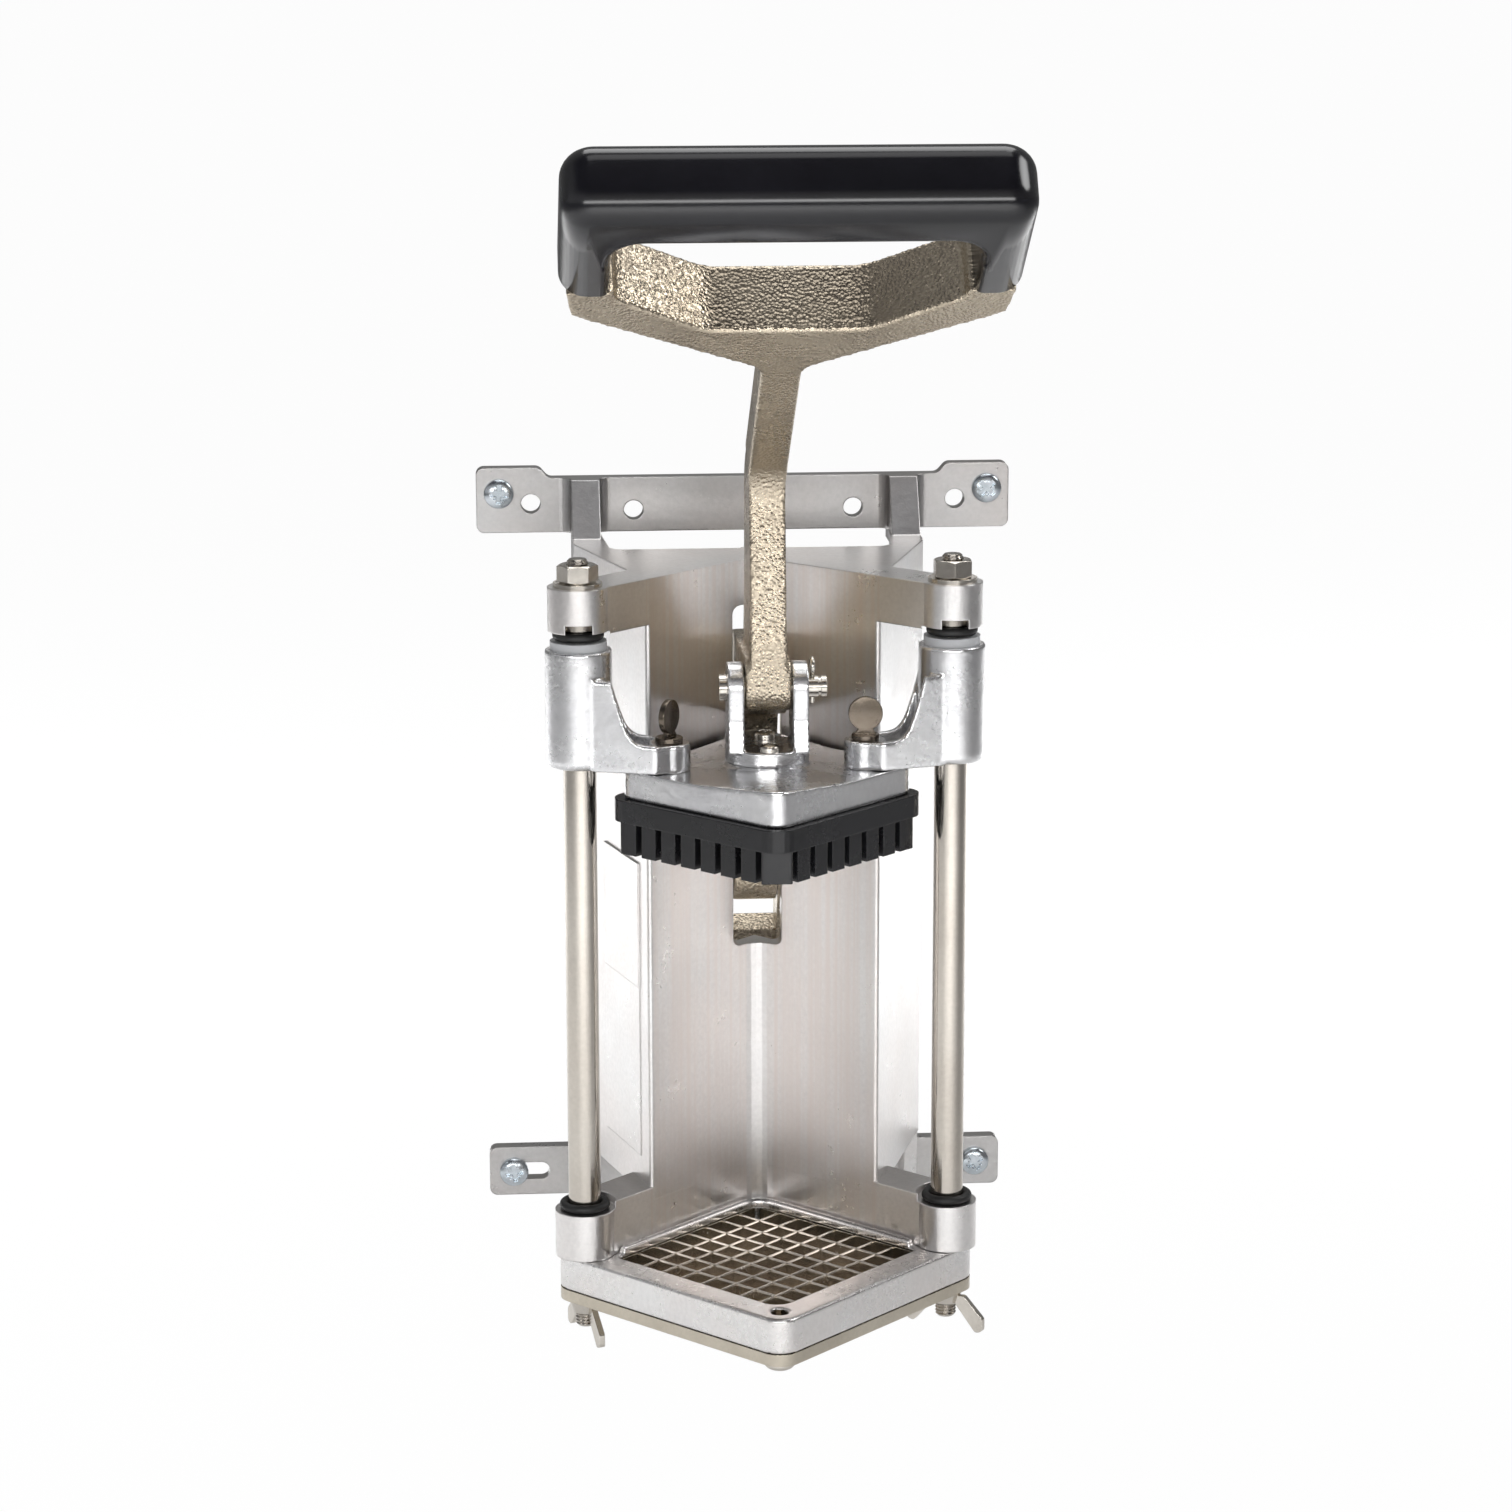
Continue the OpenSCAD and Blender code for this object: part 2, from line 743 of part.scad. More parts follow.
module guide_rod(side) {
    stud_low = -base_t - holder_t - stud_below;
    shoulder = frame_h - upper_boss_h + shoulder_in;
    stud_high = frame_h + stud_above;
    bevel = stud_d / 8;
    color(bright_steel) at_wall() at_rod(side) {
        cylinder(d = rod_d, h = shoulder);
        translate([0, 0, stud_low]) cylinder(d = stud_d, h = stud_high - bevel - stud_low);
        translate([0, 0, stud_high - bevel]) cylinder(d1 = stud_d, d2 = stud_d - 2 * bevel, h = bevel);
    }
}

module rod_nut(side, turned) {
    across = nut_across / cos(30);
    bevel = (across - nut_across) / 2;
    z = frame_h + washer_t;
    shape = [
        [0, 0], [nut_across / 2, 0], [across / 2, bevel], [across / 2, nut_h - bevel], [nut_across / 2, nut_h],
        [0, nut_h]
    ];
    color(nickel) at_wall() at_rod(side) translate([0, 0, z]) rotate(turned) difference() {
        intersection() {
            cylinder(d = across, h = nut_h, $fn = 6);
            rotate_extrude() polygon(shape);
        }
        translate([0, 0, -overrun]) cylinder(r = stud_d / 2 + fit_gap, h = nut_h + 2 * overrun);
    }
}

module rod_washer(side) {
    color(nickel) at_wall() at_rod(side) translate([0, 0, frame_h]) difference() {
        cylinder(d = washer_d, h = washer_t);
        translate([0, 0, -overrun]) cylinder(r = stud_d / 2 + seam, h = washer_t + 2 * overrun);
    }
}

module rubber_ring(side, z) {
    color(black_rubber) at_wall() at_rod(side) translate([0, 0, z])
        rotate_extrude() translate([rod_d / 2 + fit_gap + ring_d / 2, 0]) circle(d = ring_d);
}

module wing_nut(side, turned) {
    top = -base_t - holder_t;
    hub_r = wing_hub_d / 2;
    wing_shares = [[0.2, -0.15], [0.5, -0.1], [1, -0.62], [1, -0.95], [0.82, -1], [0.3, -0.35]];
    wing_radii = [0, wing_tip_r, wing_tip_r, wing_root_r, wing_root_r, 0];
    wing = [for (p = wing_shares) [p[0] * wing_r, p[1] * wing_drop]];
    color(nickel) at_wall() at_rod(side) translate([0, 0, top]) rotate(turned) difference() {
        union() {
            translate([0, 0, -wing_hub_h]) cylinder(r1 = hub_r * 0.75, r2 = hub_r, h = wing_hub_h);
            for (s = [0, 180])
                rotate(s) upright(-wing_t / 2, wing_t / 2) polygon(rounded(wing, wing_radii, 4));
        }
        translate([0, 0, -wing_drop - overrun])
            cylinder(r = stud_d / 2 + fit_gap, h = wing_drop + 2 * overrun);
    }
}

module wall_screw() {
    shank = bar_t + screw_in_wall - screw_tip;
    translate([0, reach - bar_t, 0]) {
        rotate([90, 0, 0]) domed_head(screw_head_d, screw_head_h);
        along_y(screw_d, 0, shank);
        translate([0, shank, 0]) rotate([-90, 0, 0]) cylinder(d1 = screw_d, d2 = screw_d / 5, h = screw_tip);
    }
}

module wall_screws_top() {
    color(zinc) at_wall() for (s = [-1, 1])
        translate([s * top_screw_x, 0, bolt_z + top_screw_up]) rotate([0, top_screw_turned * s, 0]) wall_screw();
}

module wall_screws_bottom() {
    color(zinc) at_wall() for (s = [-1, 1])
        translate([s * low_screw_x, 0, low_bar_z + low_bar_h / 2]) rotate([0, low_screw_turned * s, 0]) wall_screw();
}

// Swing link and its pins

module link_pin() {
    half = lug_in + lug_t;
    color(nickel) at_wall() translate([0, link_pin_at[0], link_pin_at[1]]) {
        along_x(link_pin_d, -half, half + link_pin_head);
        along_x(link_pin_d * 1.5, -half - link_pin_head, -half);
    }
}

module swing_link() {
    color(nickel) at_wall() translate([0, link_pin_at[0], link_pin_at[1]]) rotate([link_tilt, 0, 0])
        difference() {
            union() {
                for (s = [-1, 1]) {
                    x0 = s > 0 ? link_in : -link_out;
                    along_x(2 * link_r, x0, x0 + link_t);
                    translate([0, 0, link_len]) along_x(2 * link_r, x0, x0 + link_t);
                    sideways(x0, x0 + link_t) polygon([[-link_r, 0], [link_r, 0], [link_waist, link_len / 2],
                        [link_r, link_len], [-link_r, link_len], [-link_waist, link_len / 2]]);
                }
                along_x(2 * link_r, -link_out, link_out);
                translate([-link_in, -link_web_t / 2, 0])
                    cube([2 * link_in, link_web_t, link_web_top]);
            }
            along_x(link_pin_d + 2 * fit_gap, -link_out - overrun, link_out + overrun);
            translate([0, 0, link_len]) along_x(fulcrum_d + 2 * fit_gap, -link_out - overrun, link_out + overrun);
        }
}

module fulcrum_pin() {
    color(bright_steel) at_wall() translate([0, fulcrum[0], fulcrum[1]])
        along_x(fulcrum_d, -eye_w / 2, eye_w / 2);
}

// Pusher carriage

module sleeve() {
    r = sleeve_d / 2;
    shape = concat([[0, 0]], corner_arc([0, 0], [r, 0], [r, sleeve_h], sleeve_round, 6),
        [[r, sleeve_h], [0, sleeve_h]]);
    translate([0, 0, sleeve_low]) rotate_extrude() polygon(shape);
}

// Side outline of the arm's webs: low over the ear, sweeping up to the sleeve
module web_outline() {
    sweep_shares = [[0.1, 0.31], [0.57, 0.32], [0.75, 0.41], [0.925, 0.71], [1.05, 1]];
    span = rod_x - sleeve_d / 2 - ear_x;
    top = [for (p = sweep_shares) [ear_x + p[0] * span, sleeve_low + p[1] * arm_rise]];
    points = concat([[ear_x + sweep_shares[0][0] * span, sleeve_low]], top,
        [[rod_x, sleeve_low + arm_rise], [rod_x, sleeve_low]]);
    polygon(rounded(points, [0, 0, span / 4, span / 2, span / 2, 0, 0, 0], 4));
}

module web_strip(from, to) {
    along = unit(to - from);
    across = [-along[1], along[0]] * arm_web_t;
    intersection() {
        translate([0, 0, sleeve_low]) linear_extrude(sleeve_h) polygon([from, to, to + across, from + across]);
        upright(from[1] - sleeve_d, to[1] + sleeve_d) web_outline();
    }
}

module carriage_arm() {
    tip = [ear_x, ear_y] + arm_tip;
    sleeve_front = [rod_x, rod_y] + sleeve_d / 2 * [cos(250), sin(250)];
    sleeve_back = [rod_x, rod_y] + sleeve_d / 2 * [cos(135), sin(135)];
    ear_back = [ear_x, ear_y + ear_r];
    inner = sleeve_h - 2 * bush_len;
    difference() {
        union() {
            at_rod() sleeve();
            translate([ear_x, ear_y, seat_z]) cylinder(r = ear_r, h = ear_h);
            translate([0, 0, sleeve_low]) linear_extrude(arm_floor_t)
                polygon([[ear_x, ear_y - ear_r], tip, sleeve_front, [rod_x, rod_y], sleeve_back, ear_back]);
            translate([0, 0, sleeve_low]) linear_extrude(ear_h + seat_z - sleeve_low)
                polygon([[ear_x, ear_y - ear_r], tip, tip + [0, arm_web_t], [ear_x, ear_y]]);
            web_strip(tip, sleeve_front);
            web_strip(ear_back - [0, arm_web_t], sleeve_back - [0, arm_web_t]);
        }
        at_rod() translate([0, 0, sleeve_low - overrun])
            cylinder(r = rod_d / 2 + seam, h = sleeve_h + 2 * overrun);
        for (z = [sleeve_low - overrun, sleeve_top - bush_len])
            at_rod() translate([0, 0, z])
                cylinder(r = rod_d / 2 + bush_wall + fit_gap, h = bush_len + overrun);
        translate([ear_x, ear_y, seat_z - overrun])
            cylinder(r = thumb_d / 2 + 2 * fit_gap, h = ear_h + 2 * overrun);
    }
}

module carriage_arm_left() {
    color(cast_aluminium) at_wall() mirror([1, 0, 0]) carriage_arm();
}

module carriage_arm_right() {
    color(cast_aluminium) at_wall() carriage_arm();
}

module bush(side, z, flanged) {
    color(pale_nylon) at_wall() at_rod(side) difference() {
        union() {
            translate([0, 0, z]) cylinder(r = rod_d / 2 + bush_wall, h = bush_len - fit_gap);
            if (flanged)
                translate([0, 0, sleeve_top])
                    cylinder(r = rod_d / 2 + bush_wall + bush_flange_w, h = bush_flange_t);
        }
        translate([0, 0, z - overrun])
            cylinder(r = rod_d / 2 + 2 * fit_gap, h = bush_len + bush_flange_t + 2 * overrun);
    }
}

// Pusher plate: a square block with a low hipped roof and a round seat for the clevis
module pusher_plate() {
    seat_x = ear_x - ear_r - fit_gap;
    far = plate_half * round2;
    roof = [
        [-far, plate_low], [far, plate_low], [far, seat_z], [seat_x, seat_z], [0, ridge_z],
        [-seat_x, seat_z], [-far, seat_z]
    ];
    color(cast_aluminium) at_wall() difference() {
        union() {
            intersection() {
                diamond(plate_half, plate_round, plate_low, ridge_z);
                upright(-far, far) polygon(roof);
            }
            translate([0, 0, seat_z - overrun]) cylinder(d = clevis_base_d, h = ridge_rise + overrun);
        }
        for (s = [-1, 1]) {
            translate([s * ear_x, ear_y, seat_z - thumb_depth])
                cylinder(r = thumb_d / 2 + 2 * fit_gap, h = thumb_depth + overrun);
            translate([0, s * base_screw_y, plate_low + base_screw_d])
                cylinder(r = base_screw_d / 2 + fit_gap, h = plate_t);
        }
    }
}

// Toothed block: square teeth that pass between the blades
module pusher_block() {
    last = rows - 2;
    gap_depth = tooth_h - fit_gap * 2;
    cut_y = teeth_half * round2 - tooth_corner_cut;
    color(black_plastic) at_wall() union() {
        diamond(block_half, plate_r, block_low, plate_low);
        difference() {
            intersection() {
                diamond(teeth_half, grid_margin, teeth_low, block_low);
                translate([-teeth_half * round2, -cut_y, teeth_low])
                    cube([2 * teeth_half * round2, 2 * cut_y, tooth_h]);
            }
            for (turned = [45, -45], i = [0:last])
                rotate(turned) translate([(i - last / 2) * fry - tooth_gap / 2, -block_half, teeth_low - overrun])
                    cube([tooth_gap, 2 * block_half, gap_depth + overrun]);
        }
    }
}

// Spade-headed screw that clamps an arm's ear to the pusher plate
module thumb_screw(side, turned) {
    z = seat_z + ear_h;
    depth = thumb_depth - fit_gap * 4;
    neck = thumb_collar_h + spade_d / 2;
    color(nickel) at_wall() translate([side * ear_x, ear_y, z]) rotate(turned) {
        translate([0, 0, -ear_h - depth]) cylinder(d = thumb_d, h = ear_h + depth);
        cylinder(d = thumb_collar_d, h = thumb_collar_h);
        translate([-thumb_d / 2, -spade_t / 2, 0]) cube([thumb_d, spade_t, neck]);
        translate([0, 0, neck]) along_y(spade_d, -spade_t / 2, spade_t / 2);
    }
}

module clevis_bracket() {
    ear_rise = pivot_z - clevis_top;
    color(cast_aluminium) at_wall() difference() {
        union() {
            translate([0, 0, ridge_z]) cylinder(d = clevis_base_d, h = clevis_base_t);
            both_sides() {
                sideways(clevis_in, clevis_out)
                    polygon([[-clevis_foot, clevis_top - overrun], [clevis_foot, clevis_top - overrun],
                        [clevis_ear_r, clevis_top + ear_rise / 2], [clevis_ear_r, pivot_z],
                        [-clevis_ear_r, pivot_z], [-clevis_ear_r, clevis_top + ear_rise / 2]]);
                translate([0, 0, pivot_z]) along_x(2 * clevis_ear_r, clevis_in, clevis_out);
            }
        }
        translate([0, 0, pivot_z]) along_x(pivot_d + 2 * fit_gap, -clevis_out - overrun, clevis_out + overrun);
        for (s = [-1, 1])
            translate([0, s * base_screw_y, ridge_z - overrun])
                cylinder(r = base_screw_d / 2 + fit_gap, h = clevis_base_t + 2 * overrun);
    }
}

module clevis_screws() {
    color(nickel) at_wall() for (s = [-1, 1])
        translate([0, s * base_screw_y, clevis_top]) {
            domed_head(base_screw_head_d, base_screw_head_h);
            translate([0, 0, 2 * base_screw_d + plate_low - clevis_top - fit_gap - base_screw_d / 2])
                cylinder(d = base_screw_d, h = clevis_top - plate_low - 3 * base_screw_d / 2 + fit_gap);
        }
}

module clevis_pin() {
    tail = clevis_out + pin_tail;
    groove = 1;
    color(bright_steel) at_wall() translate([0, 0, pivot_z]) difference() {
        union() {
            along_x(pivot_d, -clevis_out - fit_gap, tail);
            along_x(pin_head_d, -clevis_out - pin_head_t, -clevis_out - fit_gap);
        }
        translate([clevis_out + cotter_from_ear, 0, -pivot_d])
            cylinder(r = cotter_d / 2 + fit_gap, h = 2 * pivot_d);
        difference() {
            along_x(pivot_d + overrun, tail - 3 * groove, tail - 2 * groove);
            along_x(pivot_d - groove, tail - 3 * groove, tail - 2 * groove);
        }
    }
}

module cotter_pin() {
    leg_low = -pivot_d * 0.75;
    loop_z = pivot_d / 2 + cotter_loop_r + cotter_d / 2 + fit_gap;
    color(bright_steel) at_wall() translate([clevis_out + cotter_from_ear, 0, pivot_z]) {
        translate([0, 0, leg_low]) cylinder(d = cotter_d, h = loop_z - cotter_loop_r - leg_low);
        translate([0, 0, loop_z]) rotate([90, 0, 90])
            rotate_extrude() translate([cotter_loop_r, 0]) circle(d = cotter_d, $fn = 24);
    }
}

// Lever

// Lower stem, from the clevis pin up to the bend; its top lies inside the upper stem
module lower_stem() {
    up = [-sin(lean), cos(lean)];
    deep = [cos(lean), sin(lean)];
    lap = stem_depth;
    skin = fit_gap * 4;
    ahead = bend + up * lap + deep * skin;
    behind = bend + up * lap + deep * (stem_depth - skin);
    back_line = bend + deep * (stem_depth - skin);
    knee = back_line[1] - (back_knee - back_line[0]) / tan(lean);
    points = [
        [-boss_r, 0], [-boss_r - stem_swell, 2 * boss_r], bend + deep * skin, ahead, behind, [back_knee, knee],
        [back_knee, back_foot_up], [back_knee + boss_r, boss_r / 2], [back_knee, -boss_r], [0, -boss_r / 2]
    ];
    radii = [0, boss_r, stem_depth, 0, 0, stem_depth, stem_depth, 0, 0, 0];
    sideways(-stem_w / 2, stem_w / 2) polygon(rounded(points, radii, 8));
}

// Rear arm, from the boss round the clevis pin back over the pusher, and down behind the
// channel to the eye
module rear_arm() {
    back = eye_back + eye_r;
    inside = eye_back - eye_r;
    points = [
        [-boss_r, boss_r * 1.3], [boss_r, boss_r * 1.3], [back, arm_elbow_z], [back, eye_rise - eye_r],
        [inside, eye_rise - eye_r], [inside, arm_inner_z], [2 * boss_r, -boss_r * 1.6], [boss_r / 2, -boss_r],
        [-boss_r, -boss_r]
    ];
    radii = [boss_r / 2, 0, eye_r + boss_r, eye_r, eye_r, boss_r, boss_r, 0, boss_r];
    sideways(-eye_w / 2, eye_w / 2) polygon(rounded(points, radii, 8));
}

// In the upper lever's own frame: Y is depth from the front face, Z runs along the lever
module upper_frame() {
    translate([0, bend[0], bend[1]]) rotate([lean, 0, 0]) children();
}

module upper_stem_and_yoke() {
    low = -stem_depth / 4;
    half = stem_w / 2 + side_gap;
    top = upper_len;
    end_half = yoke_half + yoke_flare;
    right = [
        [half, low], [half, yoke_low], [yoke_half, yoke_low + yoke_rise], [end_half, top],
        [yoke_inner_half + yoke_floor_flare, top], [yoke_inner_half, yoke_shoulder], [yoke_floor_half, yoke_floor]
    ];
    radii = [0, yoke_neck_r, yoke_side_r, 0, 0, yoke_shoulder_r, yoke_floor_r];
    deeper_from = yoke_low - yoke_bend_r;
    deeper_to = yoke_low + yoke_bend_high;
    intersection() {
        upright(0, yoke_depth)
            polygon(rounded(both([0, low], right, [0, yoke_floor]), both_radii(0, radii, 0)));
        sideways(-end_half, end_half)
            polygon(rounded([[0, low], [stem_depth, low], [stem_depth, deeper_from], [yoke_depth, deeper_to],
                [yoke_depth, top], [0, top]], [0, 0, yoke_bend_r, yoke_bend_r, 0, 0]));
    }
}

// Core loop that the grip is moulded round
module grip_core(spare) {
    outer = grip_w / 2 - (grip_leg_w - core_t) / 2 + spare;
    bar_high_z = grip_top - core_in + spare;
    d0 = core_in - spare;
    for (s = [-1, 1])
        translate([s > 0 ? outer - core_t - 2 * spare : -outer, d0, upper_len - overrun])
            cube([core_t + 2 * spare, core_depth + 2 * spare, bar_high_z - upper_len + overrun]);
    translate([-outer, d0, bar_high_z - core_t - 2 * spare])
        cube([2 * outer, core_depth + 2 * spare, core_t + 2 * spare]);
}

module lever() {
    color(nickel) at_wall() translate([0, 0, pivot_z]) difference() {
        union() {
            lower_stem();
            rear_arm();
            upper_frame() {
                upper_stem_and_yoke();
                grip_core(0);
            }
        }
        along_x(pivot_d + 2 * fit_gap, -eye_w, eye_w);
        translate([0, eye_back, eye_rise]) along_x(fulcrum_d + 2 * fit_gap, -eye_w, eye_w);
    }
}

module grip_ball(x, d, s) {
    translate([x, d, s]) sphere(r = grip_round, $fn = 32);
}

module grip() {
    half = grip_w / 2;
    d0 = grip_round - grip_proud;
    d1 = grip_depth - grip_proud - grip_round;
    low = upper_len + leg_len;
    color(gloss_black) at_wall() translate([0, 0, pivot_z]) upper_frame() difference() {
        union() {
            hull() for (x = [grip_round - half, half - grip_round], d = [d0, d1],
                s = [low + grip_round, grip_top - grip_round]) grip_ball(x, d, s);
            for (side = [-1, 1]) {
                x = side * (half - grip_round);
                hull() {
                    for (d = [d0, d1]) {
                        grip_ball(x, d, grip_top - grip_round);
                        translate([x, d, upper_len]) cylinder(r = grip_round, h = grip_round, $fn = 32);
                    }
                }
            }
            both_sides() upright(d0 - grip_round / 2, d1 + grip_round / 2)
                polygon(concat([[half - grip_leg_w + overrun, low - grip_fillet],
                    [half - grip_leg_w + overrun, low + overrun], [half - grip_leg_w - grip_fillet, low + overrun]],
                    [for (i = [0:6]) [half - grip_leg_w - grip_fillet + grip_fillet * sin(i * 15),
                        low - grip_fillet + grip_fillet * cos(i * 15)]]));
        }
        grip_core(fit_gap);
    }
}

frame_casting();
base_plate();
guide_rod(-1);  // guide_rod_left
guide_rod(1);  // guide_rod_right
rod_nut(-1, 30);  // rod_nut_left
rod_nut(1, 0);  // rod_nut_right
rod_washer(-1);  // rod_washer_left
rod_washer(1);  // rod_washer_right
rubber_ring(-1, ring_seat - ring_d / 2 - fit_gap);  // upper_ring_left
rubber_ring(1, ring_seat - ring_d / 2 - fit_gap);  // upper_ring_right
rubber_ring(-1, lower_boss_h + ring_d / 2 + fit_gap);  // lower_ring_left
rubber_ring(1, lower_boss_h + ring_d / 2 + fit_gap);  // lower_ring_right
blade_holder();
blades_lower();
blades_upper();
holder_screw();
wing_nut(-1, wing_nut_turned[0]);  // wing_nut_left
wing_nut(1, wing_nut_turned[1]);  // wing_nut_right
wall_screws_top();
wall_screws_bottom();
link_pin();
swing_link();
carriage_arm_left();
carriage_arm_right();
bush(-1, sleeve_top - bush_len + fit_gap, true);  // bush_upper_left
bush(1, sleeve_top - bush_len + fit_gap, true);  // bush_upper_right
bush(-1, sleeve_low, false);  // bush_lower_left
bush(1, sleeve_low, false);  // bush_lower_right
pusher_plate();
pusher_block();
thumb_screw(-1, thumb_screw_turned[0]);  // thumb_screw_left
thumb_screw(1, thumb_screw_turned[1]);  // thumb_screw_right
clevis_bracket();
clevis_screws();
clevis_pin();
cotter_pin();
lever();
grip();
fulcrum_pin();
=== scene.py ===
"""The looks of a wall-hung french fry cutter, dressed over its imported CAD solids."""
import math

import bmesh
import bpy
from mathutils import Matrix, Vector


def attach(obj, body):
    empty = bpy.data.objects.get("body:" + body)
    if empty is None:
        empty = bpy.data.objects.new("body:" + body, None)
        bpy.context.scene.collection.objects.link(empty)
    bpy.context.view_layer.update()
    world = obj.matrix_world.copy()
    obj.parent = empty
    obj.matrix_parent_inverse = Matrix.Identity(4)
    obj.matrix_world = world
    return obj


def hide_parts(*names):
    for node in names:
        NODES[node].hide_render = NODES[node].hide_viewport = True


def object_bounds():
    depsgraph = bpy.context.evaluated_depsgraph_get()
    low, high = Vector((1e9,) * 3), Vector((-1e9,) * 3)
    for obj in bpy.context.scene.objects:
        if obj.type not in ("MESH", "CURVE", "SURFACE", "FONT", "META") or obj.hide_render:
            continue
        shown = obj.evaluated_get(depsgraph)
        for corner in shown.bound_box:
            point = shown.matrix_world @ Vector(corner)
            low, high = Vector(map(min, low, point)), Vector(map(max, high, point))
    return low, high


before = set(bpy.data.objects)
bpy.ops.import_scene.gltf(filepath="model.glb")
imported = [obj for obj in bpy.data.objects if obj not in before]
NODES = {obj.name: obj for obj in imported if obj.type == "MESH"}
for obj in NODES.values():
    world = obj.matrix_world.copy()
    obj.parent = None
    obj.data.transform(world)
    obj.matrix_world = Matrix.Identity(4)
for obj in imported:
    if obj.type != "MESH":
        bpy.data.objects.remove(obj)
cad_box = [list(corner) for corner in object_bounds()]
SCENE = bpy.context.scene
SCENE.view_settings.view_transform = "Standard"


# Camera at the photograph's place. It looks slightly down on the cutter and a little from
# the left, from a metre and a half away.
PHOTO_FOCAL = 94.41
camera_data = bpy.data.cameras.new("camera")
camera_data.lens = PHOTO_FOCAL
camera_data.sensor_width = 36
camera_data.clip_end = 100
camera = bpy.data.objects.new("camera", camera_data)
camera.location = (-0.1018, -1.52195, 0.2491)
camera.rotation_euler = (math.radians(77.01), math.radians(0.09), math.radians(-4.04))
SCENE.collection.objects.link(camera)
SCENE.camera = camera


# Floor and studio: a pale floor well under the cutter, which hangs free of it, a pale room that
# is darker above and behind, and soft boxes in front, beside and above.
def shader_tree(tree):
    """Empties a node tree and returns two makers: one for nodes and one for links."""
    tree.nodes.clear()

    def make(kind, **values):
        node = tree.nodes.new("ShaderNode" + kind)
        for name, value in values.items():
            setattr(node, name, value)
        return node

    def join(source, target):
        tree.links.new(source, target)

    return make, join


def room_light():
    """A grey room, shaded by direction, that the camera itself sees as white."""
    world = bpy.data.worlds.new("studio")
    world.use_nodes = True
    SCENE.world = world
    make, join = shader_tree(world.node_tree)
    way = make("TexCoord")
    parts = make("SeparateXYZ")
    join(way.outputs["Generated"], parts.inputs[0])

    def shades(side, stops):
        """A row of greys from -1 to 1 along one side of the room."""
        place = make("MapRange")
        join(parts.outputs[side], place.inputs["Value"])
        place.inputs["From Min"].default_value = -1
        row = make("ValToRGB")
        join(place.outputs[0], row.inputs[0])
        while len(row.color_ramp.elements) < len(stops):
            row.color_ramp.elements.new(0.5)
        for element, (where, colour) in zip(row.color_ramp.elements, stops):
            element.position = where
            element.color = (*colour, 1)
        return row.outputs[0]

    def product(one, other):
        both = make("Mix", data_type="RGBA", blend_type="MULTIPLY")
        both.inputs["Factor"].default_value = 1
        join(one, both.inputs["A"])
        join(other, both.inputs["B"])
        return both.outputs["Result"]

    # in front: brighter on the left than on the right, under a dark lid; behind: dark grey
    across = shades("X", [(0.0, (0.50, 0.50, 0.51)), (0.30, (0.45, 0.45, 0.45)),
                          (0.45, (0.45, 0.44, 0.43)), (0.60, (0.60, 0.59, 0.58)),
                          (0.75, (0.20, 0.19, 0.185)), (1.0, (0.20, 0.19, 0.19))])
    lid = (0.16, 0.16, 0.18)
    height = shades("Z", [(0.66, (1, 1, 1)), (0.74, (0.7, 0.7, 0.7)), (0.84, lid), (1.0, lid)])
    rear = shades("Z", [(0.55, (0.20, 0.20, 0.195)), (0.80, (0.25, 0.25, 0.25)),
                        (1.0, (0.28, 0.28, 0.28))])
    rear_from = 0.35
    behind = make("MapRange")
    join(parts.outputs["Y"], behind.inputs["Value"])
    behind.inputs["From Max"].default_value = rear_from
    room = make("Mix", data_type="RGBA")
    join(behind.outputs[0], room.inputs["Factor"])
    join(product(across, height), room.inputs["A"])
    join(rear, room.inputs["B"])
    path = make("LightPath")
    seen = make("Mix", data_type="RGBA")
    join(path.outputs["Is Camera Ray"], seen.inputs["Factor"])
    join(room.outputs["Result"], seen.inputs["A"])
    seen.inputs["B"].default_value = (1, 1, 1, 1)
    back = make("Background")
    join(seen.outputs["Result"], back.inputs["Color"])
    end = make("OutputWorld")
    join(back.outputs[0], end.inputs["Surface"])


def soft_box(name, place, aim, size, watts, spread=180):
    """A soft lamp that the camera doesn't see; its spread is in degrees."""
    data = bpy.data.lights.new(name, "AREA")
    data.shape = "RECTANGLE"
    data.size, data.size_y = size
    data.energy = watts
    data.spread = math.radians(spread)
    lamp = bpy.data.objects.new(name, data)
    lamp.location = place
    lamp.rotation_euler = (Vector(aim) - lamp.location).to_track_quat("-Z", "Y").to_euler()
    lamp.visible_camera = False
    SCENE.collection.objects.link(lamp)


FLOOR_GREY = 0.86
FLOOR_GLOW = 0.97


def floor_material():
    """Pale and matt for light and shadow, and nearly white to the camera."""
    material = bpy.data.materials.new("pale_floor")
    material.use_nodes = True
    make, join = shader_tree(material.node_tree)
    path = make("LightPath")
    shine = make("Emission")
    matt = make("BsdfDiffuse")
    matt.inputs["Color"].default_value = (FLOOR_GREY, FLOOR_GREY, FLOOR_GREY, 1)
    seen = make("Math", operation="MULTIPLY")
    seen.inputs[1].default_value = FLOOR_GLOW
    join(path.outputs["Is Camera Ray"], seen.inputs[0])
    mix = make("MixShader")
    join(seen.outputs[0], mix.inputs[0])
    join(matt.outputs[0], mix.inputs[1])
    join(shine.outputs[0], mix.inputs[2])
    end = make("OutputMaterial")
    join(mix.outputs[0], end.inputs["Surface"])
    return material


floor_drop = 0.15
floor_half = 30
floor_z = cad_box[0][2] - floor_drop
floor_mesh = bpy.data.meshes.new("floor")
corners = ((-1, -1), (1, -1), (1, 1), (-1, 1))
floor_mesh.from_pydata([(x * floor_half, y * floor_half, floor_z) for x, y in corners],
                       [], [(0, 1, 2, 3)])
floor_mesh.materials.append(floor_material())
floor = bpy.data.objects.new("floor", floor_mesh)
SCENE.collection.objects.link(floor)
room_light()
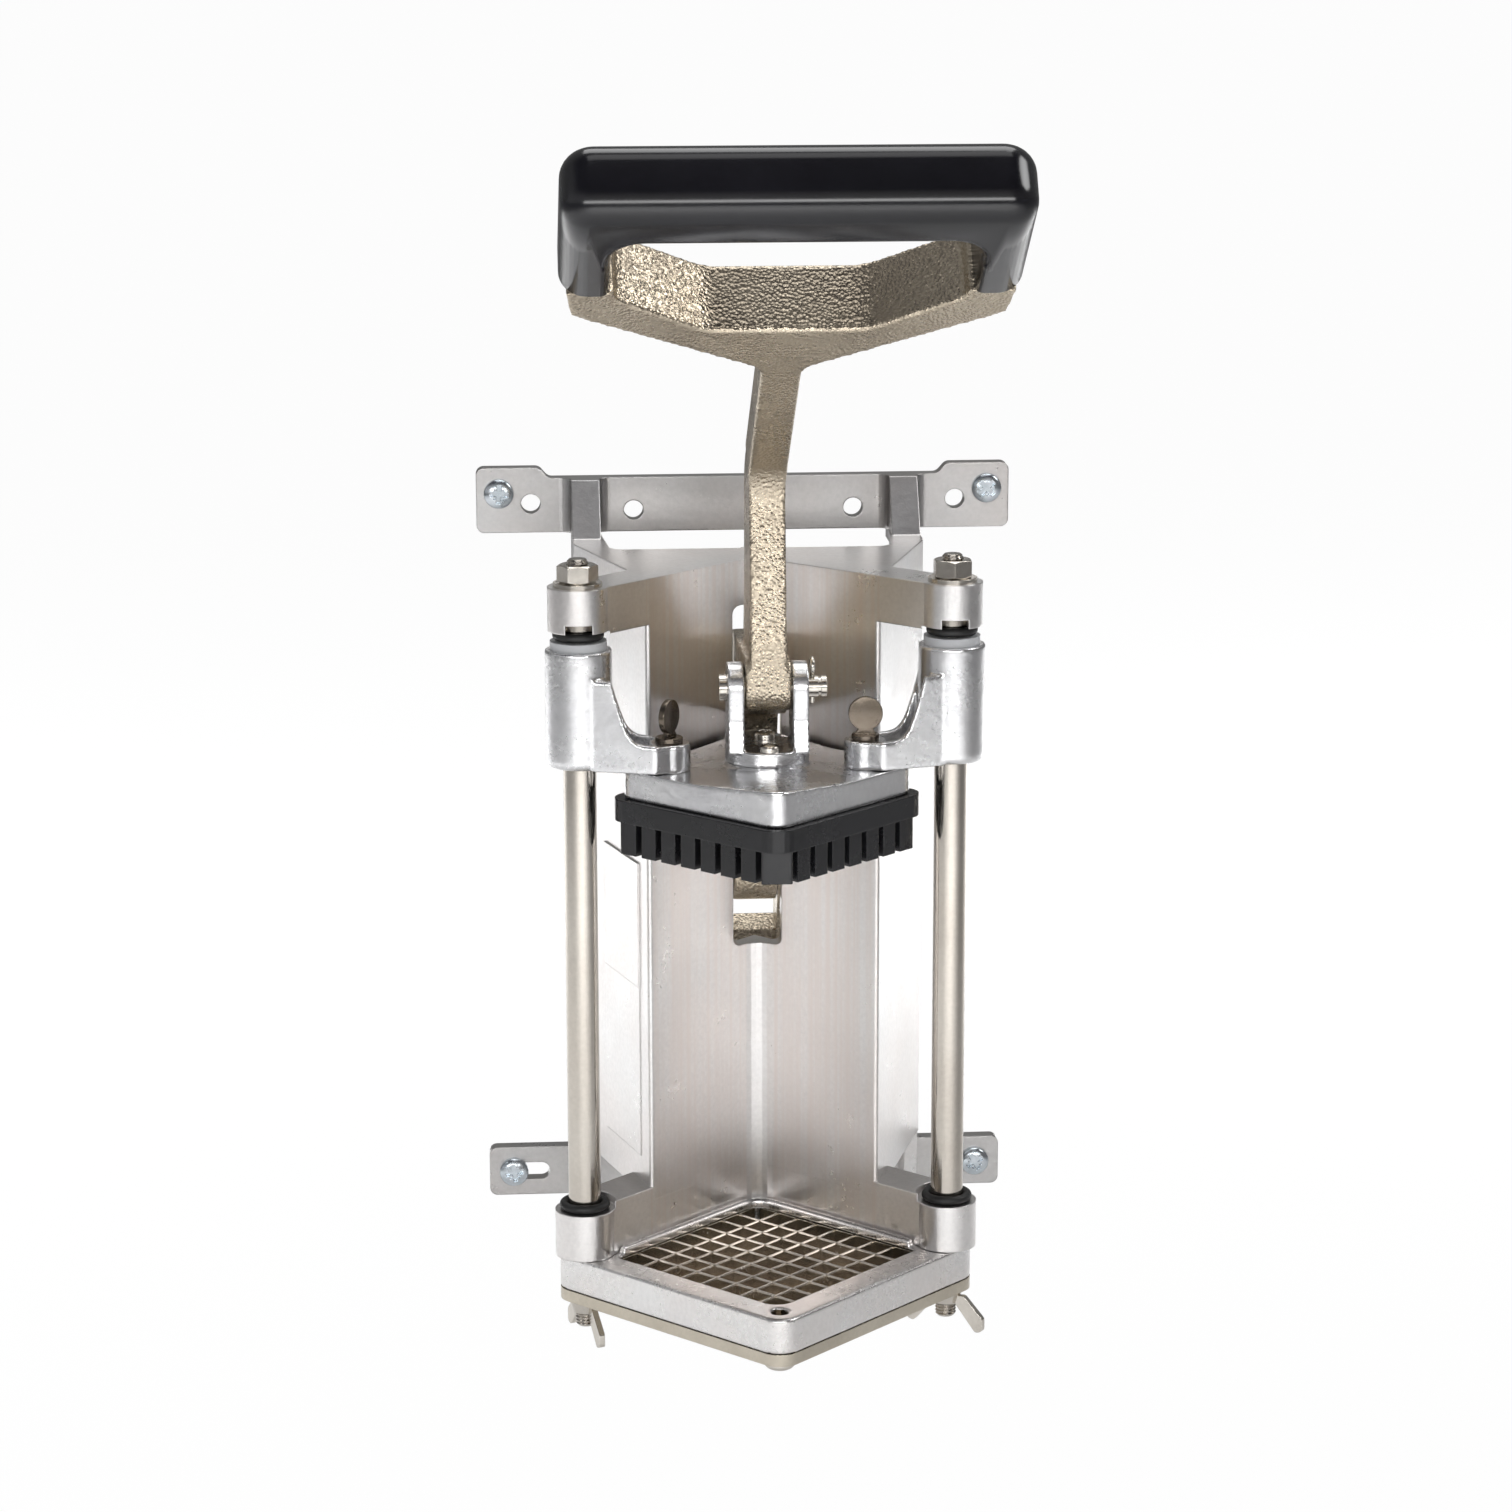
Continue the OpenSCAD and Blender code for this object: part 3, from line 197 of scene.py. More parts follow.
# the pools brighten the floor where the upright metal faces mirror it
off_plumb = 0.001
for name, place, size, watts in (("pool_front", (0.1, -1.6, 0.8), (1.5, 1.0), 18),
                                 ("pool_left", (-0.95, -0.3, 0.5), (0.5, 0.8), 2.6),
                                 ("pool_back_left", (-0.95, 1.1, 0.8), (0.9, 0.9), 11),
                                 ("pool_back_right", (0.8, 1.2, 0.8), (0.9, 0.9), 12)):
    soft_box(name, place, (place[0], place[1] + off_plumb, floor_z), size, watts, spread=100)
soft_box("strip_front", (-0.1, -1.6, 0.2), (0, -0.15, 0.15), (1.8, 0.22), 8)
soft_box("box_right", (1.2, -0.2, 0.95), (0, -0.2, 0.1), (0.6, 0.6), 1.0, spread=70)
soft_box("box_above", (0.1, 0.5, 1.4), (0, 0.1, -0.1), (1.2, 0.8), 9)
soft_box("box_over_front", (0.05, -0.31, 0.95), (0, -0.02, 0), (0.7, 0.3), 0.85)


# Frame casting: one tumbled aluminium casting that hangs on the wall and carries the rest. Its
# V channel is belt ground up and down, and the other faces keep the fine pits of the sand.
MIDDLING = (0.3, 0.7)
PATCH_TINT = (0.93, 0.93, 0.93)
MOTTLE_SCALE, MOTTLE_DEPTH = 600, 0.08
STREAK_SCALE, STREAK_DEPTH, STREAK_TINT = (420, 420, 4), 0.8, (0.93, 0.87, 0.84)
# paler edges, partly wear and partly painted highlight: their tint, and where along the rounding
# they begin and are full
WORN_HIGHLIGHT_TINT = (1.3, 1.3, 1.3)
WORN_HIGHLIGHT_FROM, WORN_HIGHLIGHT_FULL = 0.995, 0.9
# painted shade on the back of a casting: how far it takes to darken, and how dark it gets
BACK_SHADE_REACH, BACK_SHADE_DEPTH = 0.03, 0.38
BROAD_SCALE, FINE_SCALE = 45, 500
GROUND_LOSS = 0.85
PEBBLE_BLUR = 0.35


def tinted(colour, tint):
    """The colour times a tint, no brighter than one."""
    return tuple(min(1.0, part * share) for part, share in zip(colour, tint))


def solid_material(name, colour, rough, metallic=1.0, patch=None, patch_size=30, grains=(),
                   lines=(), rounding=0.0004, wear_and_highlight=0.0, spread=0.035, ior=1.5, lines_on=None,
                   pebbles=(), back_shade_from=None):
    """A finish with patches of a second colour, grains and lines in relief, and paler edges that are
    partly worn and partly painted highlight.

    grains, lines and pebbles are lists of (scale or scales per metre, height in metres);
    rounding is the radius that the light sees along sharp edges, and spread how far the
    roughness varies. lines_on bounds the ground faces of the V: they lie where |x| + y is
    between its first two numbers and |x| is under the third. Behind back_shade_from the colour is
    darkened: painted shade."""
    material = bpy.data.materials.new(name)
    material.use_nodes = True
    make, join = shader_tree(material.node_tree)
    shader = make("BsdfPrincipled")
    shader.inputs["Metallic"].default_value = metallic
    shader.inputs["IOR"].default_value = ior
    end = make("OutputMaterial")
    join(shader.outputs[0], end.inputs["Surface"])
    place = make("TexCoord").outputs["Object"]

    def noise(scale, detail=3.0, roughness=0.55):
        source = place
        if not isinstance(scale, (int, float)):
            stretch = make("Mapping")
            stretch.inputs["Scale"].default_value = scale
            join(place, stretch.inputs["Vector"])
            source, scale = stretch.outputs[0], 1.0
        cloud = make("TexNoise")
        join(source, cloud.inputs["Vector"])
        cloud.inputs["Scale"].default_value = scale
        cloud.inputs["Detail"].default_value = detail
        cloud.inputs["Roughness"].default_value = roughness
        return cloud.outputs[0]

    def blend(fac, a, b):
        mix = make("Mix", data_type="RGBA")
        for side, value in (("Factor", fac), ("A", a), ("B", b)):
            socket = mix.inputs[side]
            if isinstance(value, bpy.types.NodeSocket):
                join(value, socket)
            elif isinstance(value, (int, float)):
                socket.default_value = value
            else:
                socket.default_value = (*value, 1)
        return mix.outputs["Result"]

    def maths(operation, a, b=0.0):
        step = make("Math", operation=operation)
        for socket, value in zip(step.inputs, (a, b)):
            if isinstance(value, bpy.types.NodeSocket):
                join(value, socket)
            else:
                socket.default_value = value
        return step.outputs[0]

    def spans(value, low, high, to_low=0.0, to_high=1.0):
        step = make("MapRange")
        join(value, step.inputs["Value"])
        for limit, number in (("From Min", low), ("From Max", high),
                              ("To Min", to_low), ("To Max", to_high)):
            step.inputs[limit].default_value = number
        return step.outputs[0]

    # the ground faces, where a casting has them
    ground = None
    if lines_on:
        low, high, side = lines_on
        parts = make("SeparateXYZ")
        join(place, parts.inputs[0])
        across = maths("ABSOLUTE", parts.outputs["X"])
        along = maths("ADD", across, parts.outputs["Y"])
        inside = maths("MULTIPLY", maths("GREATER_THAN", along, low),
                       maths("LESS_THAN", along, high))
        ground = maths("MULTIPLY", inside, maths("LESS_THAN", across, side))

    # colour: patches, a fine mottle, streaks on ground faces, paler edges that are wear and painted
    # highlight, and painted shade behind back_shade_from
    cloud = spans(noise(patch_size), 0.35, 0.65)
    shade = blend(cloud, colour, patch or tinted(colour, PATCH_TINT))
    fine = spans(noise(MOTTLE_SCALE, 2), *MIDDLING)
    shade = blend(maths("MULTIPLY", fine, MOTTLE_DEPTH), shade, (0, 0, 0) if metallic else colour)
    if ground:
        streak = maths("MULTIPLY", spans(noise(STREAK_SCALE), 0.4, 0.65), ground)
        shade = blend(maths("MULTIPLY", streak, STREAK_DEPTH), shade, tinted(colour, STREAK_TINT))
    soft = make("Bevel", samples=8)
    soft.inputs["Radius"].default_value = rounding
    normal = soft.outputs[0]
    # painted highlight and wear: edges, found where the rounded normal leaves the true one, get a
    # paler colour
    if wear_and_highlight:
        angle = make("VectorMath", operation="DOT_PRODUCT")
        join(normal, angle.inputs[0])
        join(make("NewGeometry").outputs["Normal"], angle.inputs[1])
        edge = spans(angle.outputs["Value"], WORN_HIGHLIGHT_FROM, WORN_HIGHLIGHT_FULL)
        shade = blend(maths("MULTIPLY", edge, wear_and_highlight), shade, tinted(colour, WORN_HIGHLIGHT_TINT))
    # painted shade: behind back_shade_from the colour is darkened towards black
    if back_shade_from is not None:
        parts = make("SeparateXYZ")
        join(place, parts.inputs[0])
        back_shade = spans(parts.outputs["Y"], back_shade_from, back_shade_from + BACK_SHADE_REACH, 0.0, BACK_SHADE_DEPTH)
        shade = blend(back_shade, shade, (0, 0, 0))
    join(shade, shader.inputs["Base Color"])

    # roughness: broad and fine clouds together
    rough_cloud = maths("ADD", spans(noise(BROAD_SCALE), *MIDDLING, -spread, spread),
                        spans(noise(FINE_SCALE), *MIDDLING, -spread / 2, spread / 2))
    join(maths("ADD", rough_cloud, rough), shader.inputs["Roughness"])

    # relief: each layer of grain and line is a bump on the one before
    for layers, on_ground in ((grains, False), (lines, True)):
        for scale, height in layers:
            bump = make("Bump")
            bump.inputs["Distance"].default_value = height
            if ground and on_ground:
                join(ground, bump.inputs["Strength"])
            elif ground:
                left = maths("SUBTRACT", 1.0, maths("MULTIPLY", ground, GROUND_LOSS))
                join(left, bump.inputs["Strength"])
            else:
                bump.inputs["Strength"].default_value = 1.0
            join(noise(scale, 2.0), bump.inputs["Height"])
            join(normal, bump.inputs["Normal"])
            normal = bump.outputs[0]
    for scale, height in pebbles:
        cells = make("TexVoronoi", feature="SMOOTH_F1")
        cells.inputs["Scale"].default_value = scale
        cells.inputs["Smoothness"].default_value = PEBBLE_BLUR
        join(place, cells.inputs["Vector"])
        bump = make("Bump", invert=True)
        bump.inputs["Distance"].default_value = height
        join(cells.outputs["Distance"], bump.inputs["Height"])
        join(normal, bump.inputs["Normal"])
        normal = bump.outputs[0]
    join(normal, shader.inputs["Normal"])
    return material


def finish(names, material):
    """Gives a CAD node, or several, its finish."""
    for name in names:
        for slot in NODES[name].material_slots:
            slot.material = material


CAST = (0.80, 0.795, 0.79)
# warm patches on the castings: random tone, tinted pink as a painted reflection
CAST_WARM_REFLECTION = (0.79, 0.755, 0.735)
# the frame's colour is darkened behind y = -0.036, as painted shade on the back of the casting
cast_frame = solid_material("cast_frame", CAST, 0.31, patch=CAST_WARM_REFLECTION, patch_size=14,
                            grains=((330, 0.00005), (1500, 0.000025)),
                            lines=(((3000, 3000, 30), 0.00003), ((900, 900, 8), 0.00003)),
                            rounding=0.0007, lines_on=(-0.0706, -0.0690, 0.0425),
                            back_shade_from=-0.036)
finish(["frame_casting"], cast_frame)


# Base plate: a heavy tumbled casting under the channel, with a small rim round the back of its
# opening, remeshed so that its edges are round and a fine seam shows above and below it.
HAIR = 1e-6


def softened(node, name, voxel, rounds, gap=0.0, turn=0):
    """A copy of a casting whose edges and inner corners are rounded, as sand and tumbling leave
    them; gap takes a hair off its top and bottom, so that the seams to its neighbours show, and
    turn lines its flat sides up with the voxels while it is remeshed."""
    copy = bpy.data.objects.new(name + "_rough", NODES[node].data.copy())
    SCENE.collection.objects.link(copy)
    shell = bmesh.new()
    shell.from_mesh(copy.data)
    bmesh.ops.remove_doubles(shell, verts=shell.verts, dist=HAIR)
    shell.to_mesh(copy.data)
    shell.free()
    lined_up = Matrix.Rotation(math.radians(turn), 4, "Z")
    copy.data.transform(lined_up)
    even = copy.modifiers.new("even", "REMESH")
    even.mode = "VOXEL"
    even.voxel_size = voxel
    worn = copy.modifiers.new("worn", "SMOOTH")
    worn.factor = 0.5
    worn.iterations = rounds
    seen = copy.evaluated_get(bpy.context.evaluated_depsgraph_get())
    mesh = bpy.data.meshes.new_from_object(seen)
    bpy.data.objects.remove(copy)
    mesh.transform(lined_up.inverted())
    mesh.materials.clear()
    mesh.shade_smooth()
    heights = [vert.co.z for vert in mesh.vertices]
    middle, half = (max(heights) + min(heights)) / 2, (max(heights) - min(heights)) / 2
    for vert in mesh.vertices:
        vert.co.z = middle + (vert.co.z - middle) * (1 - gap / half)
    piece = bpy.data.objects.new(name, mesh)
    SCENE.collection.objects.link(piece)
    return piece


def stands_for(piece, node, body, material):
    """The piece is seen in the CAD node's place."""
    if not piece.data.materials:
        piece.data.materials.append(material)
    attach(piece, body)
    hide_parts(node)


# its warm patches carry the same painted pinkish reflection
cast_plate = solid_material("cast_plate", CAST, 0.27, patch=CAST_WARM_REFLECTION, patch_size=25,
                            grains=((300, 0.00006), (1500, 0.000025)))
base = softened("base_plate", "base_casting", voxel=0.0007, rounds=3, gap=0.00022, turn=45)
stands_for(base, "base_plate", "frame", cast_plate)


# Blade holder: nickel plated steel plate under the base plate, with four slotted walls that
# the blades sit in, its edge ground and left bright.
NICKEL_SHEET = (0.60, 0.55, 0.46)
sheet_nickel = solid_material("sheet_nickel", NICKEL_SHEET, 0.22, patch=(0.52, 0.47, 0.39),
                              patch_size=40, grains=((500, 0.00002),),
                              lines=(((2200, 2200, 60), 0.00004),), rounding=0.0003, wear_and_highlight=0.6)
finish(["blade_holder"], sheet_nickel)


# Blades: two sets of seven ground stainless strips, half lapped where they cross. One strip a
# set is cut out and given its edge, and Geometry Nodes lay the seven out on the grid.
def repeater():
    """A node group that puts an item on every vertex, turned by the vertex's own turn."""
    group = bpy.data.node_groups.new("repeater", "GeometryNodeTree")
    sockets = {}
    for name, kind in (("Places", "Geometry"), ("Item", "Object"), ("Finish", "Material"),
                       ("Wobble", "Float"), ("Seed", "Int")):
        sockets[name] = group.interface.new_socket(name, in_out="INPUT",
                                                   socket_type="NodeSocket" + kind)
    group.interface.new_socket("Result", in_out="OUTPUT", socket_type="NodeSocketGeometry")
    start = group.nodes.new("NodeGroupInput")
    item = group.nodes.new("GeometryNodeObjectInfo")
    turn = group.nodes.new("GeometryNodeInputNamedAttribute")
    turn.data_type = "FLOAT_VECTOR"
    turn.inputs["Name"].default_value = "turn"
    chance = group.nodes.new("FunctionNodeRandomValue")
    chance.data_type = "FLOAT_VECTOR"
    chance.inputs["Min"].default_value = (-1, -1, -1)
    chance.inputs["Max"].default_value = (1, 1, 1)
    shake = group.nodes.new("ShaderNodeVectorMath")
    shake.operation = "SCALE"
    total = group.nodes.new("ShaderNodeVectorMath")
    total.operation = "ADD"
    put = group.nodes.new("GeometryNodeInstanceOnPoints")
    real = group.nodes.new("GeometryNodeRealizeInstances")
    paint = group.nodes.new("GeometryNodeSetMaterial")
    end = group.nodes.new("NodeGroupOutput")
    for source, target in (
            (start.outputs["Item"], item.inputs["Object"]),
            (start.outputs["Seed"], chance.inputs["Seed"]),
            (chance.outputs["Value"], shake.inputs[0]),
            (start.outputs["Wobble"], shake.inputs["Scale"]),
            (turn.outputs["Attribute"], total.inputs[0]),
            (shake.outputs[0], total.inputs[1]),
            (start.outputs["Places"], put.inputs["Points"]),
            (item.outputs["Geometry"], put.inputs["Instance"]),
            (total.outputs[0], put.inputs["Rotation"]),
            (put.outputs[0], real.inputs[0]),
            (real.outputs[0], paint.inputs["Geometry"]),
            (start.outputs["Finish"], paint.inputs["Material"]),
            (paint.outputs[0], end.inputs[0])):
        group.links.new(source, target)
    return group, sockets


REPEATER, REPEATER_SOCKETS = repeater()


def repeated(name, item, places, turns, material, wobble=0.0, seed=7):
    """One mesh of the item at every place, made by the repeater; the item itself is removed."""
    spots = bpy.data.meshes.new(name + "_spots")
    spots.from_pydata(places, [], [])
    turn = spots.attributes.new("turn", "FLOAT_VECTOR", "POINT")
    turn.data.foreach_set("vector", [angle for angles in turns for angle in angles])
    carrier = bpy.data.objects.new(name + "_carrier", spots)
    SCENE.collection.objects.link(carrier)
    rows = carrier.modifiers.new("rows", "NODES")
    rows.node_group = REPEATER
    for socket, value in (("Item", item), ("Finish", material), ("Wobble", wobble), ("Seed", seed)):
        rows[REPEATER_SOCKETS[socket].identifier] = value
    bpy.context.view_layer.update()
    seen = carrier.evaluated_get(bpy.context.evaluated_depsgraph_get())
    mesh = bpy.data.meshes.new_from_object(seen)
    carrier.modifiers.remove(rows)
    bpy.data.objects.remove(carrier)
    bpy.data.objects.remove(item)
    piece = bpy.data.objects.new(name, mesh)
    SCENE.collection.objects.link(piece)
    return piece


GRID_MIDDLE = Vector((0, -0.130, -0.2626))
FRY = 0.009525
blade_t, blade_h, blade_half = 0.0009, 0.012, 0.0418
blade_top = GRID_MIDDLE.z - 0.0013
blade_steps = [(k - 3) * FRY for k in range(7)]
blade_wobble = 0.0012
lap = 0.00005
bevel_h, bevel_t = 0.0006, 0.0003


def blade_strip(name, notch_low, notch_high):
    """A strip along X, notched where the other set crosses it, with its top ground to an edge."""
    notched_top = notch_high > blade_h
    half = blade_t / 2 + lap
    top = [(-blade_half, blade_h)]
    bottom = [(-blade_half, 0)]
    for x in blade_steps:
        if notched_top:
            top += [(x - half, blade_h), (x - half, notch_low),
                    (x + half, notch_low), (x + half, blade_h)]
        else:
            bottom += [(x - half, 0), (x - half, notch_high),
                       (x + half, notch_high), (x + half, 0)]
    top.append((blade_half, blade_h))
    bottom.append((blade_half, 0))
    outline = bottom + list(reversed(top))
    strip = bmesh.new()
    front = [strip.verts.new((x, -blade_t / 2, z - blade_h)) for x, z in outline]
    back = [strip.verts.new((x, blade_t / 2, z - blade_h)) for x, z in outline]
    strip.faces.new(front)
    strip.faces.new(list(reversed(back)))
    for k in range(len(outline)):
        j = (k + 1) % len(outline)
        strip.faces.new((front[j], front[k], back[k], back[j]))
    bmesh.ops.recalc_face_normals(strip, faces=strip.faces)
    bmesh.ops.bisect_plane(strip, geom=strip.verts[:] + strip.edges[:] + strip.faces[:],
                           dist=HAIR / 10, plane_co=(0, 0, -bevel_h), plane_no=(0, 0, 1))
    for vert in strip.verts:
        if vert.co.z > -HAIR:
            vert.co.y *= bevel_t / blade_t
    bmesh.ops.triangulate(strip, faces=[face for face in strip.faces if len(face.verts) > 4])
    mesh = bpy.data.meshes.new(name)
    strip.to_mesh(mesh)
    strip.free()
    item = bpy.data.objects.new(name, mesh)
    SCENE.collection.objects.link(item)
    return item


BLADE = (0.82, 0.75, 0.66)
blade_steel = solid_material("blade_steel", BLADE, 0.24, patch=(0.66, 0.60, 0.53), patch_size=60,
                             lines=(((60, 60, 4000), 0.00002),))
for node, notch_low, notch_high, angle in (("blades_lower", blade_h / 2 - lap, 2 * blade_h, 45),
                                           ("blades_upper", 0, blade_h / 2 + lap, -45)):
    strip = blade_strip(node + "_strip", notch_low, notch_high)
    side = Vector((-math.sin(math.radians(angle)), math.cos(math.radians(angle)), 0))
    places = [step * side + Vector((0, GRID_MIDDLE.y, blade_top)) for step in blade_steps]
    turns = [(0, 0, math.radians(angle)) for step in blade_steps]
    grid = repeated(node + "_set", strip, places, turns, blade_steel, wobble=blade_wobble)
    stands_for(grid, node, "frame", blade_steel)


# Screw under the front corner and the two wing nuts on the rods' lower studs. They hold the
# blade holder up, come off by hand to change it, and are nickel plated.
NICKEL = (0.71, 0.67, 0.61)
bright_nickel = solid_material("bright_nickel", NICKEL, 0.17, patch=(0.62, 0.58, 0.52),
                               patch_size=60, grains=((700, 0.00002),), rounding=0.0003, wear_and_highlight=0.4)
finish(["holder_screw", "wing_nut_left", "wing_nut_right"], bright_nickel)


# Guide rods: centreless ground steel between the bosses, with turned shoulders and threaded
# studs at both ends, and plated nuts on washers at the top.
SHARP_TURN = math.radians(28)


def turned(name, place, heights, radius_at, segments=48, bore=0.0):
    """A closed turned shape, ring by ring; radius_at(height, angle) may carry threads or flats."""
    x, y, z = place
    verts, faces = [], []
    angles = [2 * math.pi * k / segments for k in range(segments)]
    for height in heights:
        for angle in angles:
            radius = radius_at(height, angle)
            verts.append((x + radius * math.cos(angle), y + radius * math.sin(angle), z + height))
    if bore:
        for height in (heights[-1], heights[0]):
            verts += [(x + bore * math.cos(a), y + bore * math.sin(a), z + height) for a in angles]
    rings = len(verts) // segments
    for ring in range(rings - 1 + bool(bore)):
        low, high = ring * segments, (ring + 1) % rings * segments
        for k in range(segments):
            j = (k + 1) % segments
            faces.append((low + k, low + j, high + j, high + k))
    if not bore:
        for ring, up in ((0, False), (rings - 1, True)):
            middle = len(verts)
            verts.append((x, y, z + heights[ring]))
            for k in range(segments):
                j = (k + 1) % segments
                one, two = ring * segments + k, ring * segments + j
                faces.append((middle, one, two) if up else (middle, two, one))
    mesh = bpy.data.meshes.new(name)
    mesh.from_pydata(verts, [], faces)
    mesh.shade_smooth()
    mesh.set_sharp_from_angle(angle=SHARP_TURN)
    piece = bpy.data.objects.new(name, mesh)
    SCENE.collection.objects.link(piece)
    return piece


def between(start, end, step):
    """Even steps from start to end, none longer than step."""
    count = max(1, math.ceil((end - start) / step))
    return [start + (end - start) * k / count for k in range(count + 1)]


STEEL = (0.55, 0.515, 0.465)
ground_steel = solid_material("ground_steel", STEEL, 0.12, patch=(0.50, 0.46, 0.41),
                              patch_size=25, spread=0.03,
                              lines=(((150, 150, 3500), 0.000008), ((1800, 1800, 6), 0.000012)))
ROD_X, ROD_Y = 0.067515, -0.12401
rod_r, rod_h = 0.006, 0.247
rod_chamfer, rod_step = 0.0005, 0.01
stud_r, stud_low, stud_high, stud_tip = 0.004, -0.0282, 0.262, 0.001
thread_pitch, thread_depth = 0.00125, 0.0006
thread_step = thread_pitch / 8


def rod_radius(height, angle):
    """Plain between the shoulders; threaded beyond them, with a chamfer at each tip."""
    if 0 <= height <= rod_h:
        shoulder = min(height, rod_h - height)
        return min(rod_r, rod_r - rod_chamfer + shoulder)
    turn = (height / thread_pitch - angle / (2 * math.pi)) % 1
    from_tip = min(height - stud_low, stud_high - height)
    return min(stud_r - thread_depth * abs(2 * turn - 1), stud_r - stud_tip + from_tip)


rod_heights = (between(stud_low, -HAIR, thread_step) + [0, rod_chamfer]
               + between(rod_step / 2, rod_h - rod_step / 2, rod_step)
               + [rod_h - rod_chamfer, rod_h] + between(rod_h + HAIR, stud_high, thread_step))
for side, x in (("left", -ROD_X), ("right", ROD_X)):
    rod = turned("rod_" + side, (x, ROD_Y, GRID_MIDDLE.z), rod_heights, rod_radius)
    stands_for(rod, "guide_rod_" + side, "frame", ground_steel)
nut_low, nut_high, nut_flat = 0.2535, 0.2600, 0.0065
nut_chamfer, nut_step, nut_play = 0.0008, 0.0001, 0.00005
cone_start, cone_slope = 0.97, 1.8


def nut_radius(height, angle, turn):
    """A hexagon under a cone that takes its corners off, above and below."""
    flat = (angle - turn) % (math.pi / 3) - math.pi / 6
    cone = nut_flat * cone_start + min(height - nut_low, nut_high - height) * cone_slope
    return min(nut_flat / math.cos(flat), cone)


nut_heights = (between(nut_low, nut_low + nut_chamfer, nut_step)
               + between(nut_high - nut_chamfer, nut_high, nut_step))
for side, x, turn in (("left", -ROD_X, 60), ("right", ROD_X, 30)):
    turn = math.radians(turn)
    nut = turned("nut_" + side, (x, ROD_Y, GRID_MIDDLE.z), nut_heights,
                 lambda height, angle: nut_radius(height, angle, turn), segments=96,
                 bore=stud_r + nut_play)
    stands_for(nut, "rod_nut_" + side, "frame", bright_nickel)
finish(["rod_washer_left", "rod_washer_right"], bright_nickel)


# Rubber rings on the rods that cushion the carriage at both ends of its travel: black, moulded,
# slipped over the rods under the upper bosses and on the lower ones.
RUBBER = (0.012, 0.012, 0.012)
ring_rubber = solid_material("ring_rubber", RUBBER, 0.45, metallic=0.0, grains=((900, 0.00003),),
                             rounding=0.0002)
finish(["upper_ring_left", "upper_ring_right", "lower_ring_left", "lower_ring_right"], ring_rubber)


# Carriage arms: two tumbled castings, brighter and more dimpled than the frame, which slide on
# grey nylon bushes pressed into both ends of their sleeves.
CAST_BRIGHT = (0.83, 0.83, 0.835)
cast_arm = solid_material("cast_arm", CAST_BRIGHT, 0.26, patch=(0.76, 0.76, 0.775), patch_size=35,
                          grains=((190, 0.00010), (900, 0.00004)), wear_and_highlight=0.35)
for side in ("left", "right"):
    arm = softened("carriage_arm_" + side, "arm_casting_" + side, voxel=0.0006, rounds=5)
    stands_for(arm, "carriage_arm_" + side, "carriage", cast_arm)
NYLON = (0.52, 0.53, 0.54)
bush_nylon = solid_material("bush_nylon", NYLON, 0.42, metallic=0.0, patch=(0.47, 0.48, 0.50),
                            grains=((600, 0.00003),), rounding=0.0004)
finish(["bush_upper_left", "bush_upper_right", "bush_lower_left", "bush_lower_right"], bush_nylon)


# Pusher plate and its toothed block, which pushes the potato through the blades: a tumbled
# casting, and under it a moulded black block whose teeth pass between the blades.
plate = softened("pusher_plate", "pusher_casting", voxel=0.0006, rounds=4, turn=45)
stands_for(plate, "pusher_plate", "carriage", cast_arm)
BLOCK = (0.009, 0.009, 0.010)
block_plastic = solid_material("block_plastic", BLOCK, 0.27, metallic=0.0,
                               patch=(0.012, 0.012, 0.014), grains=((800, 0.00003),),
                               rounding=0.0005)
finish(["pusher_block"], block_plastic)


# Spade-headed screws that clamp the arms' ears to the pusher plate: a stamped, darkened plated
# head on a collar and a steel shank, turned by hand.
SPADE = (0.22, 0.185, 0.15)
spade_metal = solid_material("spade_metal", SPADE, 0.26, patch=(0.17, 0.14, 0.11), patch_size=120,
                             lines=(((90, 90, 2600), 0.00003),), rounding=0.0004, wear_and_highlight=0.8)
spade_r, spade_t, spade_up = 0.0062, 0.0022, 0.0094
collar_r, collar_h, collar_edge = 0.005, 0.002, 0.0003
spade_shank_r, spade_shank = 0.0025, -0.0108
spade_edge, spade_sharp = 0.0006, math.radians(40)
neck_wide, neck_narrow, neck_up = 0.0040, 0.0027, 0.0037


def arc(middle, radius, start, end, steps=10):
    """Points on a part of a circle, in degrees."""
    angles = [math.radians(start + (end - start) * k / steps) for k in range(steps + 1)]
    return [(middle[0] + radius * math.cos(a), middle[1] + radius * math.sin(a)) for a in angles]


